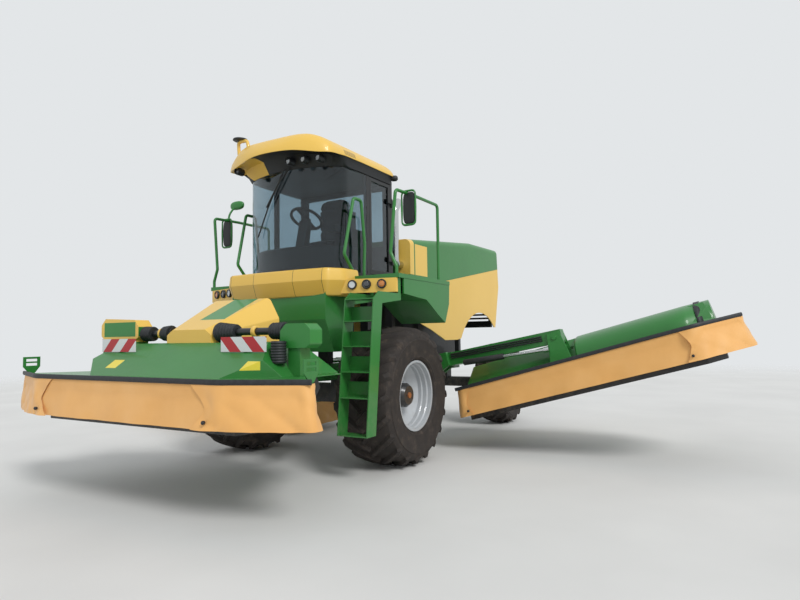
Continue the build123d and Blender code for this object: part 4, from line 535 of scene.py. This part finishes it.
def tyre_lugs(radius, width, outline, count):
    """Lugs as grids along and across: they run outward by s and back by an arc that goes with s to the power
    0.9, widen outward, and have a flat top on sloping flanks. The top drops towards the shoulder."""
    s = np.linspace(0.0, 1.0, 9)
    across = np.array([-0.050, -0.026, -0.021, 0.021, 0.026, 0.050, 0.030, -0.030])
    height = np.array([-0.012, 0.78, 1.0, 1.0, 0.78, -0.012, -0.012, -0.012])
    out = -0.016 + (0.492 * width + 0.016) * s
    arc = radius * 0.40 * s ** 0.9
    slope = unit(np.stack([np.gradient(arc), np.gradient(out)], -1))
    grown = 0.75 + 0.35 * s
    a = arc[:, None] + across[None, :] * grown[:, None] * slope[:, 1:]
    x = np.minimum(out[:, None] - across[None, :] * grown[:, None] * slope[:, :1], SIDE_WALL * width)
    base = np.interp(np.abs(x), outline[:, 0][:5], outline[:, 1][:5])
    shoulder = np.clip((np.abs(x) - 0.44 * width) / (0.06 * width), 0, 1)
    top = radius - 0.040 * (np.abs(x) / (0.47 * width)) ** 2.2 - 0.055 * shoulder ** 2
    r = base + np.where(height[None, :] > 0, height[None, :] * (top - base), -0.012)
    a, x, r = np.moveaxis(with_ends(np.stack([a, x, r], -1)), -1, 0)
    step = 2 * math.pi / count
    sides = []
    for side, stagger in ((1, 0.0), (-1, 0.5 * step)):
        angle = a / radius + (np.arange(count) * step + stagger)[:, None, None]
        sides.append(np.stack([side * x + 0 * angle, -r * np.cos(angle), r * np.sin(angle)], -1))
    return np.concatenate(sides)


for end, (y, track, radius, width, rim, count) in AXLES.items():
    half = tyre_outline(radius, width, rim)
    for name, side in (("left", 1), ("right", -1)):
        centre = np.array([side * track / 2, y, radius])
        parts = [patch(carcass(half, width, rim) + centre, RING),
                 patch(tyre_lugs(radius, width, half, count) + centre, ALONG)]
        tyre = piece(f"lugged_tyre_{end}_{name}", parts, [tyre_rubber], f"wheel_{end}_{name}",
                     smooth=32.0)
        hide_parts(f"tyre_{end}_{name}")


# Skirts: strips of coated cloth cut as one front and two corner pieces for each mower, clipped under the
# cover's edge. Each is drawn with its folds as a grid of length and drop, then settles by its weight
SKIRT_TOP = 0.445
SKIRT_DROP = 0.352
SKIRT_FLARE = 0.042
# A sheet's flat drop is a little more than its hanging drop, because it flares
STEP, ROWS = 0.02, 15
CORNER_RADIUS = 0.08
CREASE = 0.024
FRONT_LIFT, SIDE_LIFT = 0.705, 0.160
FRONT_PLAN = ((1.905, -2.470), (1.950, -2.550), (1.250, -2.810), (-1.250, -2.810), (-1.950, -2.550),
              (-1.905, -2.470))
SIDE_PLAN = ((4.760, 2.220), (4.760, 1.460), (4.300, 1.000), (1.400, 1.000), (1.300, 1.400), (1.300, 2.220))
MOWERS = (
    # name, body, plan from the rear left corner round the front, lift, side
    ("front", "front_mower", FRONT_PLAN, FRONT_LIFT, None),
    ("left", "side_mower_left", SIDE_PLAN, SIDE_LIFT, "left"),
    ("right", "side_mower_right", SIDE_PLAN, SIDE_LIFT, "right"),
)
CUTS = (
    # name, how far it reaches past the front's corners along the front at top and bottom (less than nothing:
    # the middle cut stops short of them), distance off the plan, wave length, wave height
    ("middle", -0.06, -0.06, 0.0, 0.90, 0.006),
    ("corner_a", 0.10, 0.26, 0.009, 0.55, 0.010),
    ("corner_b", 0.10, 0.26, 0.009, 0.55, 0.010),
)
# How far the side mowers' corner cuts reach instead
SIDE_LAP = (0.07, 0.15)


def skirt_cut(plan, cut):
    """Places and flat coordinates of one cut: along the plan at the top, dropping and flaring with v, with
    standing waves sin(2 pi s / length) that grow with v and lean as a pull from the corner does, and creases
    that fade along a corner cut. The corner cuts begin at the plan's ends and lap over its longest run."""
    name, lap_top, lap_bottom, off, wave, swell = cut
    corners = np.array(plan)
    if name == "corner_b":
        corners = corners[::-1]
    at = reached(corners)
    front = int(np.diff(at).argmax())
    path = rounded_path(corners, STEP, CORNER_RADIUS)
    reach = reached(path)
    reach *= at[-1] / reach[-1]
    tangent = unit(np.gradient(path, axis=0))
    outward = np.stack([tangent[:, 1], -tangent[:, 0]], -1)
    if outward[len(path) // 2, 1] > 0:
        outward = -outward
    v = np.linspace(0.0, 1.0, ROWS)
    lap = lap_top + (lap_bottom - lap_top) * np.abs(2 * v - 1.1) ** 1.3
    if name == "middle":
        start, stops = at[front] - lap_top, at[front + 1] + lap_top + 0 * v
    else:
        start, stops = 0.0, at[front] + lap
    u = np.linspace(0.0, 1.0, int((stops[0] - start) / STEP) + 8)
    s = start + (stops[None, :] - start) * u[:, None]
    v = v[None, :]
    fold = swell * v ** 1.2 * (
        np.sin(2 * math.pi * (s + 0.12 * v) / wave + 0.7)
        + 0.55 * np.sin(2 * math.pi * (s - 0.25 * v) / (0.43 * wave) + 1.9)
        + 0.45 * np.abs(np.sin(math.pi * (s + 0.5 * v) / (0.8 * wave))) - 0.3)
    far = 1 - np.clip(s / at[-1] * 2.2, 0, 1)
    pleat = np.abs(np.sin(math.pi * (1.6 * v + s / 0.33))) ** 0.7
    crease = 0.0 if name == "middle" else CREASE * far * v * pleat
    push = SKIRT_FLARE * v + off + fold + crease
    level = sampled(path, reach, s) + sampled(outward, reach, s) * push[..., None]
    return (np.concatenate([level, (SKIRT_TOP - SKIRT_DROP * v + 0 * s)[..., None]], -1),
            np.stack([s, SKIRT_DROP * v + 0 * s], -1))


skirts = []
for name, body, plan, lift, side in MOWERS:
    node = body.replace("mower", "mower_skirt")
    for cut in CUTS:
        if side is not None and cut[0] != "middle":
            cut = (cut[0], *SIDE_LAP, *cut[3:])
        points, flat = skirt_cut(plan, cut)
        skirt = piece(f"skirt_{name}_{cut[0]}", [patch(points + [0.0, 0.0, lift], side=side)], [cloth], body,
                      closed=False, uv=flat.reshape(-1, 2))
        skirts.append((skirt, node, flat))
        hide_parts(node)

# Black toggles on the cloth near the front's two lower corners, as turned buttons facing forward
TOGGLE = ((-0.015, CORE), (-0.015, 0.014), (0.004, 0.016), (0.010, 0.011), (0.012, CORE))
for name, body, plan, lift, side in MOWERS:
    front_y = min(y for _, y in plan)
    ends = sorted(x for x, y in plan if y == front_y)
    feet = [(x, front_y - 0.055, SKIRT_TOP - 0.290 + lift) for x in (ends[1] - 0.10, ends[0] + 0.10)]
    buttons = [patch(turned(TOGGLE, foot, (0, -1, 0), 14), ROUND, side=side) for foot in feet]
    piece(f"skirt_toggles_{name}", buttons, [black_rubber], body)


def keep_movement(things, frames, cap, modifier):
    """Runs the simulation for some frames and keeps how far each point moved, up to a cap."""
    for number in range(1, frames + 1):
        scene.frame_set(number)
    graph = bpy.context.evaluated_depsgraph_get()
    for thing in things:
        start = np.empty(len(thing.data.vertices) * 3)
        after = np.empty_like(start)
        thing.data.vertices.foreach_get("co", start)
        thing.evaluated_get(graph).data.vertices.foreach_get("co", after)
        way = (after - start).reshape(-1, 3)
        far = np.linalg.norm(way, axis=1)[:, None]
        way *= np.minimum(1.0, cap / np.maximum(far, 1e-9))
        thing.modifiers.remove(thing.modifiers[modifier])
        thing.data.vertices.foreach_set("co", (start.reshape(-1, 3) + way).ravel())
    scene.frame_set(1)


def settle(cloths, frames, cap):
    """Hangs the cloths by their top rows for some frames of simulation and keeps the fall, up to a cap."""
    for skirt, _, flat in cloths:
        columns, rows = flat.shape[:2]
        group = skirt.vertex_groups.new(name="held")
        for row, weight in enumerate((1.0, 0.9)):
            group.add((np.arange(columns) * rows + row).tolist(), weight, "REPLACE")
        hang = skirt.modifiers.new("hang", "CLOTH")
        adjust(hang.settings, vertex_group_mass="held", quality=6, mass=0.35, tension_stiffness=60,
               compression_stiffness=60, shear_stiffness=40, bending_stiffness=12)
        hang.collision_settings.use_collision = False
    keep_movement([skirt for skirt, _, _ in cloths], frames, cap, "hang")


settle(skirts, 16, 0.018)
for skirt, node, flat in skirts:
    width = float(np.abs(np.diff(flat[:, 0, 0])).sum())

# Rubber strips along the front edges of the covers
STRIP = np.array([(-0.004, -0.012), (0.012, -0.014), (0.020, -0.004), (0.020, 0.020), (0.012, 0.030),
                  (-0.004, 0.028)])
for name, body, plan, lift, side in MOWERS:
    path = rounded_path(plan[1:-1] if side is None else plan[1:-2], 0.03, 0.06)[::-1]
    strip = swept(at_height(path, SKIRT_TOP + 0.006 + lift), STRIP)
    piece(f"edge_strip_{name}", [patch(strip, ALONG, side=side)], [black_rubber], body)


# Roof: one smooth shell over the brow, its black underside with painted shade, and the looped stalk with its
# cap
ROOF_SPINE = rounded_path([(-0.990, 3.730), (-0.930, 3.800), (-0.800, 3.875), (-0.600, 3.930),
                           (-0.400, 3.952), (-0.100, 3.945), (0.200, 3.908), (0.480, 3.852),
                           (0.720, 3.790)], 0.02, 0.10)
ROOF_FOOT_Z, EDGE_Z, HEAD_Z = 3.640, 3.628, 3.522
ROOF_HALF, ROOF_REAR = 0.82, 0.690
# Share of the way from the edge to the middle over which the edge is rounded
EDGE_SHARE = 0.12
RING_POINTS = 120


def roof_loop(half, corner_y, front_y):
    """The roof's outline at a height: straight sides, bowed front y = corner - bow (1 - (x / half)^2)."""
    x = np.linspace(-half + 0.02, half - 0.02, 13)
    front = np.stack([x, corner_y + (front_y - corner_y) * (1 - (x / half) ** 2)], -1)
    rear = np.array([(half, -0.100), (half, ROOF_REAR), (-half, ROOF_REAR), (-half, -0.100)])
    return loop_path(np.concatenate([front, rear]), RING_POINTS, 0.09)


def roof_surface():
    """Rings from the brow's edge to the middle: height = the softened lower one of the side view's line z(y)
    and the end view's arch 0.275 (1 - (x / half)^2), rounded off over the outer share. In front the edge bows
    up by exp(-((x - 0.10) / 0.48)^4). Rings below, from the cab's head to the edge, leave a recess."""
    brow = roof_loop(0.812, -0.740, -0.985)
    front = np.clip((-0.45 - brow[:, 1]) / 0.35, 0, 1)
    edge = EDGE_Z + 0.050 * front * np.exp(-((brow[:, 0] - 0.10) / 0.48) ** 4) - 0.030 * front
    v = np.concatenate([np.linspace(0.0, EDGE_SHARE, 8), np.linspace(0.15, 1.0, 18)])[:, None]
    middle = np.array([0.0, -0.05])
    flat = middle + (brow - middle)[None] * (1 - v)[..., None]
    line = np.interp(flat[..., 1], ROOF_SPINE[:, 0], ROOF_SPINE[:, 1]) - ROOF_FOOT_Z
    arch = 0.060 + 0.275 * (1 - (flat[..., 0] / ROOF_HALF) ** 2)
    height = 1.06 * (line ** -5.0 + arch ** -5.0) ** -0.2
    swell = np.sqrt(1 - (1 - np.clip(v / EDGE_SHARE, 0, 1)) ** 2)
    z = edge + 0.012 + (ROOF_FOOT_Z + height - edge - 0.012) * swell
    top = np.concatenate([flat, z[..., None]], -1)
    lip = np.concatenate([brow, edge[:, None]], -1)[None]
    inner = np.concatenate([middle + (brow - middle) * 0.985, edge[:, None] + 0.004], -1)[None]
    head = at_height(roof_loop(0.765, -0.430, -0.650), HEAD_Z)[None]
    head_middle = head.mean(axis=1, keepdims=True) + 0 * head
    recess = head + (inner - head) * np.array([0.30, 0.30, 0.0])
    recess[..., 2] += 0.13 * front
    recess_top = head + (inner - head) * np.array([0.75, 0.75, 0.9])
    recess_top[..., 2] += 0.035 * front
    under = np.concatenate([head_middle, head, recess, recess_top, inner])
    return np.concatenate([inner, lip, top]), under


upper, lower = roof_surface()
stalk = rounded_path([(-0.620, -0.745, 3.690), (-0.640, -0.745, 3.960), (-0.560, -0.745, 3.975),
                      (-0.490, -0.745, 3.960), (-0.430, -0.745, 3.700)], 0.012, 0.03)
cap = turned([(0.0, CORE), (-0.004, 0.075), (0.006, 0.092), (0.020, 0.088), (0.030, 0.050), (0.034, CORE)],
             (-0.610, -0.745, 3.982), (0, 0, 1))
roof = piece("roof_shell", [patch(upper, ALONG), patch(lower, ALONG, 1), patch(tube(stalk, 0.021), ALONG),
                            patch(cap, ROUND, 2)],
             [roof_enamel, under_enamel, black_plastic], "vehicle", smooth=50.0)
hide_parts("cab_roof")
knob = turned([(-0.020, CORE), (-0.020, 0.030), (0.020, 0.040), (0.062, 0.038), (0.080, 0.022),
               (0.082, CORE)], (0.780, 0.640, 3.610), (0.9, 0.3, 0.0))
piece("roof_side_lamp", [patch(knob, ROUND)], [black_plastic], "vehicle")

# Work lamps on the slanted panels and under the brow: black rims, and the lenses that are not clear
RIM = np.array([(-0.030, 0.040), (0.004, 0.038), (0.008, 0.042), (0.006, 0.050), (-0.004, 0.054),
                (-0.030, 0.052)])
BROW_RIM = RIM * [2.8, 0.86]
LENS = [(-0.004, CORE), (0.006, CORE), (0.005, 0.020), (0.001, 0.036), (-0.004, 0.040)]
PANEL_X, PANEL_Y, PANEL_Z = 0.800, -0.620, 2.085
PANEL_SLOPE = 196 / 650
# Square to the panel, and how far the rims stand off its middle plane
PANEL_WAY = np.array([0.2887, -0.9574, 0.0])
STANDOFF = 0.022
BROW_Z = 3.580
BROW_LAMPS = ((0.200, -0.775), (0.400, -0.750), (0.580, -0.700), (-0.600, -0.800))
lamp_parts = []
for side in (1, -1):
    way = PANEL_WAY * [side, 1, 1]
    for number, x in enumerate((0.960, 1.120, 1.290)):
        foot = np.array([side * x, PANEL_Y + (x - PANEL_X) * PANEL_SLOPE, PANEL_Z]) + STANDOFF * way
        lamp_parts.append(patch(turned(RIM, foot, way), RING))
        if number:
            lamp_parts.append(patch(turned(LENS, foot, way), RING, number))
for x, y in BROW_LAMPS:
    lamp_parts.append(patch(turned(BROW_RIM, (x, y, BROW_Z), (0, -1, 0)), RING))
lamp_parts.append(patch(turned(LENS, (*BROW_LAMPS[-1], BROW_Z), (0, -1, 0)), RING, 1))
piece("lamp_rims_and_lenses", lamp_parts, [black_plastic, smoked_lens, amber_lens], "vehicle")

# Cowl under the windscreen: a creased panel that follows the cab's front, as (outward, height)
COWL_PATH = rounded_path([(-0.840, -0.360), (-0.830, -0.600), (-0.745, -0.790), (-0.250, -0.822),
                          (0.250, -0.822), (0.745, -0.790), (0.870, -0.600), (0.880, -0.360)], 0.012, 0.05)
COWL = np.array([(-0.110, 2.282), (-0.045, 2.284), (-0.016, 2.279), (0.000, 2.266), (0.006, 2.246),
                 (0.018, 2.140), (-0.032, 1.992), (-0.042, 1.974), (-0.064, 1.964), (-0.090, 1.962),
                 (-0.130, 1.970), (-0.130, 2.270)])
piece("nose_cowl", [patch(swept(at_height(COWL_PATH, 0.0), COWL), ALONG)], [cowl_enamel], "vehicle",
      smooth=22.0)

# Lining of the cab's foot inside the windscreen, as (outward, height)
LINING_PATH = rounded_path([(-0.700, -0.050), (-0.690, -0.400), (-0.450, -0.545), (0.000, -0.600),
                            (0.450, -0.545), (0.690, -0.400), (0.700, -0.050)], 0.02, 0.10)
LINING = np.array([(0.0, 2.285), (0.0, 2.540), (-0.012, 2.585), (-0.040, 2.600), (-0.060, 2.580),
                   (-0.060, 2.285)])
piece("cab_lining", [patch(swept(at_height(LINING_PATH, 0.0), LINING), ALONG)], [black_enamel], "vehicle")

# Rounded outer part of each side mower's raised hood, with a strap round its end
BARREL_FRONT, BARREL_REAR = 1.325, 2.445
BARREL_FOOT_Z, BARREL_RISE = 0.610, 0.289
BARREL_X = np.concatenate([[2.930], np.linspace(2.95, 4.20, 8), np.linspace(4.24, 4.505, 8)])
STRAP_X, STRAP_THICK = np.array([4.330, 4.390]), 0.012
LEAN_FROM_X = 4.45


def hood_barrel(x, swell):
    """Arch over the flat-sided solid: height = rise (1 - |d|^2.4)^(1/2.4), d across from front to rear foot;
    the front foot moves back over the last stretch, and the end leans in."""
    front = BARREL_FRONT + 0.230 * np.clip((x - 4.200) / 0.290, 0, 1) - swell
    rear = BARREL_REAR + swell
    d = -np.cos(np.linspace(0, math.pi, 40))
    y = (front[:, None] + rear) / 2 + (rear - front[:, None]) / 2 * d[None]
    height = (BARREL_RISE + swell) * np.clip(1 - np.abs(d) ** 2.4, 0, 1) ** (1 / 2.4) + 0 * y
    lean = x[:, None] - 0.04 * height * (x[:, None] > LEAN_FROM_X)
    return np.stack([lean, y, BARREL_FOOT_Z + height], -1)


# Tilt cylinder in front of the boom, and the steel pipes clipped along it
TILT_WAY = (1.0, 0.0, -0.118)
TILT_BARREL = [(0.0, CORE), (0.0, 0.030), (0.010, 0.040), (0.560, 0.040), (0.575, 0.034), (0.580, CORE)]
TILT_ROD = [(0.0, CORE), (0.0, 0.021), (0.540, 0.021), (0.545, 0.034), (0.610, 0.034), (0.612, CORE)]
PIPE = ((1.300, 1.308, 1.105), (1.900, 1.308, 1.052), (2.560, 1.308, 0.990))
PIPE_DROPS = (0.0, 0.026, 0.052)
for side in ("left", "right"):
    skin = hood_barrel(BARREL_X, 0.0)
    end_foot = (skin[-1:, :1] + skin[-1:, -1:]) / 2 + 0 * skin[-1:]
    barrel_skin = piece(f"hood_barrel_{side}", [patch(np.concatenate([skin, end_foot]), side=side),
                                                patch(hood_barrel(STRAP_X, STRAP_THICK), OPEN, 1, side)],
                        [green_enamel, black_rubber], f"side_mower_{side}", smooth=50.0)
    adjust(barrel_skin.modifiers.new("wall", "SOLIDIFY"), thickness=0.004, offset=-1.0)
    boom = f"boom_{side}"
    pipes = [tube(rounded_path(PIPE, 0.03, 0.06) - [0.0, 0.0, drop], 0.009) for drop in PIPE_DROPS]
    piece(f"boom_hydraulics_{side}",
          [patch(turned(TILT_BARREL, (1.480, 1.262, 0.945), TILT_WAY), ROUND, 0, boom),
           patch(turned(TILT_ROD, (2.040, 1.262, 0.879), TILT_WAY), ROUND, 1, boom)]
          + [patch(pipe, ALONG, 0, boom) for pipe in pipes],
          [black_enamel, chrome], f"side_mower_{side}")

# Drive line of the front mower: rubber bellows with their folds, and yellow collars
BELLOWS_BORE = 0.035
BELLOWS = (
    # length, radius at the foot and at the end, folds, foot, way
    (0.235, 0.092, 0.066, 7, (0.345, *SHAFT_LINE), (1, 0, 0)),
    (0.155, 0.070, 0.074, 5, (1.025, *SHAFT_LINE), (1, 0, 0)),
    (0.140, 0.070, 0.074, 5, (-0.630, *SHAFT_LINE), (-1, 0, 0)),
    (0.120, 0.078, 0.068, 4, (-0.345, *SHAFT_LINE), (-1, 0, 0)),
    (0.190, 0.064, 0.064, 8, (*POST_LINE, 1.277), (0, 0, 1)),
)
COLLAR = [(0.0, 0.036), (0.0, 0.050), (0.008, 0.056), (0.036, 0.056), (0.044, 0.050), (0.044, 0.036)]


def bellows(length, wide, narrow, folds):
    """Radius = wide to narrow along the length, with 7 mm folds as the sine's square; open ends turned in."""
    s = np.linspace(0.0, 1.0, folds * 8 + 1)
    radius = wide + (narrow - wide) * s + 0.007 * np.sin(math.pi * folds * s) ** 2
    skin = np.stack([s * length, radius], -1)
    return np.concatenate([[(0.0, BELLOWS_BORE)], skin, [(length, BELLOWS_BORE)]])


drive = [patch(turned(bellows(*sizes), foot, way), RING) for *sizes, foot, way in BELLOWS]
drive += [patch(turned(COLLAR, (x, *SHAFT_LINE), (1, 0, 0)), RING, 1) for x in (0.790, -0.520)]
piece("drive_bellows", drive, [black_rubber, yellow_enamel], "front_mower", smooth=60.0)

# Mirrors: rounded heads in a tube frame on each side, and the oval head above the right rail
MIRROR_X, MIRROR_Z = 1.468, 2.982
FRAME_Y, FRAME_POINTS, FRAME_TUBE = -0.150, 72, 0.013


def mirror_frame(side):
    """A round tube along a rounded rectangle: line + radius (inward cos a + y sin a)."""
    line = loop_path([(0.090, 0.200), (-0.090, 0.200), (-0.090, -0.200), (0.090, -0.200)], FRAME_POINTS, 0.05)
    middle = np.array([side * MIRROR_X, FRAME_Y, MIRROR_Z])
    path = middle + np.stack([line[:, 0], 0 * line[:, 0], line[:, 1]], -1)
    a = np.linspace(0, 2 * math.pi, 8, endpoint=False)[None, :, None]
    inward = unit(middle - path)
    return path[:, None] + FRAME_TUBE * (np.cos(a) * inward[:, None] + np.sin(a) * np.array([0.0, 1.0, 0.0]))


heads = []
for side in (1, -1):
    heads.append(patch(pillow((side * MIRROR_X, -0.130, MIRROR_Z), (0.078, 0.026, 0.186), 0.45), ALONG, 1))
    heads.append(patch(mirror_frame(side), RING))
heads.append(patch(pillow((-1.400, -0.020, 3.395), (0.125, 0.040, 0.062), 0.8), ALONG))
oval_arm = rounded_path([(-1.470, -0.130, 3.100), (-1.475, -0.100, 3.260), (-1.440, -0.030, 3.380)],
                        0.02, 0.05)
heads.append(patch(tube(oval_arm, 0.014), ALONG))
mirror = piece("mirror_heads", heads, [green_enamel, black_plastic], "vehicle", smooth=50.0)
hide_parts("mirrors")

# Wiper parked across the windscreen: arm and blade
blade = rounded_path([(-0.440, -0.606, 2.760), (-0.230, -0.645, 3.120), (0.020, -0.668, 3.500)], 0.03, 0.06)
arm = rounded_path([(0.120, -0.660, 3.540), (-0.020, -0.690, 3.380), (-0.235, -0.668, 3.110)], 0.03, 0.06)
piece("wiper", [patch(tube(blade, 0.009), ALONG), patch(tube(arm, 0.011), ALONG)], [black_plastic], "vehicle")

# The driver's two cushions: crowned pads with sewn channels round their edge and across
CHANNEL = 0.035
PADS = (
    # name, centre, half sizes, axis and places of the cross channels
    ("driver_cushion", (0.0, 0.235, 2.702), (0.245, 0.210, 0.056), 1, (-0.3, 0.3)),
    ("driver_backrest", (0.0, 0.420, 3.055), (0.240, 0.050, 0.320), 2, (-0.35, 0.2, 0.62)),
)


def pad(centre, half, along, channels):
    """A superellipsoid whose skin draws in at sewn channels: narrow gaussians at places along one axis, and
    at 0.62 of the half width."""
    points = pillow(centre, half, 0.42, 60, 84)
    local = (points - np.array(centre)) / np.array(half)
    groove = sum(np.exp(-((local[..., along] - place) / CHANNEL) ** 2) for place in channels)
    groove += np.exp(-((np.abs(local[..., 0]) - 0.62) / CHANNEL) ** 2)
    return np.array(centre) + (points - np.array(centre)) * (1 - 0.10 * np.clip(groove, 0, 1))[..., None]


cushions = [piece(name, [patch(pad(*shape), ALONG)], [cushion_cloth], "vehicle",
                  smooth=70.0) for name, *shape in PADS]
for cushion in cushions:
    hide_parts("seat_cushion")


def inflate(pads, frames, cap):
    """Presses the pads out from inside with gravity off and keeps the swelling, up to a cap."""
    for thing in pads:
        press = thing.modifiers.new("fill", "CLOTH")
        adjust(press.settings, use_pressure=True, uniform_pressure_force=2.0, quality=5)
        press.settings.effector_weights.gravity = 0.0
        press.collision_settings.use_collision = False
    keep_movement(pads, frames, cap, "fill")


inflate(cushions, 14, 0.006)


# Stage: a pale floor that fades out with distance, one soft sun and a bright sky
def floor_finish():
    """Pale matt floor paint, a little uneven; it fades out between 14 and 26 metres from the machine."""
    material, tree, shader, where = blank("pale_floor_paint")
    uneven = add(tree, "TexNoise", {"Vector": where, "Scale": 0.6, "Detail": 4.0})
    colour = add(tree, "ValToRGB", {"Fac": uneven}, [(0.3, "#d4d3d0"), (0.7, "#dcdbd8")])
    shade(tree, shader, Base_Color=colour, Roughness=0.8)
    away = add(tree, "VectorMath", {0: where}, operation="LENGTH")
    fade = add(tree, "MapRange", {"Value": away.outputs["Value"], "From Min": 14.0, "From Max": 26.0},
               interpolation_type="SMOOTHSTEP")
    clear = add(tree, "BsdfTransparent")
    both = add(tree, "MixShader", {0: fade, 1: shader, 2: clear})
    out = next(node for node in tree.nodes if node.type == "OUTPUT_MATERIAL")
    fill(tree, out, {"Surface": both})
    return material


FLOOR_RADIUS, FLOOR_TURNS, FLOOR_RINGS = 30.0, 48, 8
around = np.linspace(0, 2 * math.pi, FLOOR_TURNS, endpoint=False)[:, None]
spread = np.linspace(0.0, FLOOR_RADIUS, FLOOR_RINGS)[None, :]
floor_points = np.stack([spread * np.cos(around), spread * np.sin(around), 0 * spread * around], -1)
floor_mesh = bpy.data.meshes.new("floor")
floor_mesh.from_pydata(floor_points.reshape(-1, 3), [], grid_faces(FLOOR_TURNS, FLOOR_RINGS, *ROUND))
floor_mesh.materials.append(floor_finish())
floor = bpy.data.objects.new("floor", floor_mesh)
scene.collection.objects.link(floor)

world = bpy.data.worlds.new("studio")
scene.world = world
world.use_nodes = True
sky = world.node_tree
sky.nodes.clear()
ray = add(sky, "LightPath").outputs
seen = add(sky, "Math", {0: ray["Is Camera Ray"], 1: ray["Is Glossy Ray"]}, operation="MAXIMUM")
seen = add(sky, "Math", {0: seen, 1: ray["Is Transmission Ray"]}, operation="MAXIMUM")
dome = add(sky, "Background", {"Color": linear("#eef2f6"), "Strength": 0.76})
backdrop = add(sky, "Background", {"Color": linear("#e3e6e8"), "Strength": 1.0})
mixed = add(sky, "MixShader", {0: seen, 1: dome, 2: backdrop})
add(sky, "OutputWorld", {"Surface": mixed})

sun = bpy.data.lights.new("soft_sun", "SUN")
adjust(sun, energy=1.7, angle=math.radians(18))
lamp = bpy.data.objects.new("soft_sun", sun)
lamp.rotation_euler = (math.radians(48), 0.0, math.radians(62))
scene.collection.objects.link(lamp)

# Camera, worked out from the photograph's 800 by 600 frame: focal length in pixels, and its place
FOCAL, FRAME_WIDTH = 581.6, 800
YAW, PITCH, ROLL = (math.radians(angle) for angle in (29.95, 3.6, -0.88))
STANDPOINT = (4.694, -5.982 - SHIFT, 1.492)
ahead = Vector((-math.sin(YAW) * math.cos(PITCH), math.cos(YAW) * math.cos(PITCH), math.sin(PITCH)))
level = Vector((math.cos(YAW), math.sin(YAW), 0.0))
upward = level.cross(ahead)
across = level * math.cos(ROLL) + upward * math.sin(ROLL)
above = upward * math.cos(ROLL) - level * math.sin(ROLL)
eye = bpy.data.cameras.new("photo_camera")
adjust(eye, sensor_width=36.0, clip_end=200.0)
eye.lens = FOCAL / FRAME_WIDTH * eye.sensor_width
camera = bpy.data.objects.new("photo_camera", eye)
camera.matrix_world = Matrix.Translation(STANDPOINT) @ Matrix((across, above, -ahead)).transposed().to_4x4()
scene.collection.objects.link(camera)
scene.camera = camera
scene.view_settings.view_transform = "Standard"
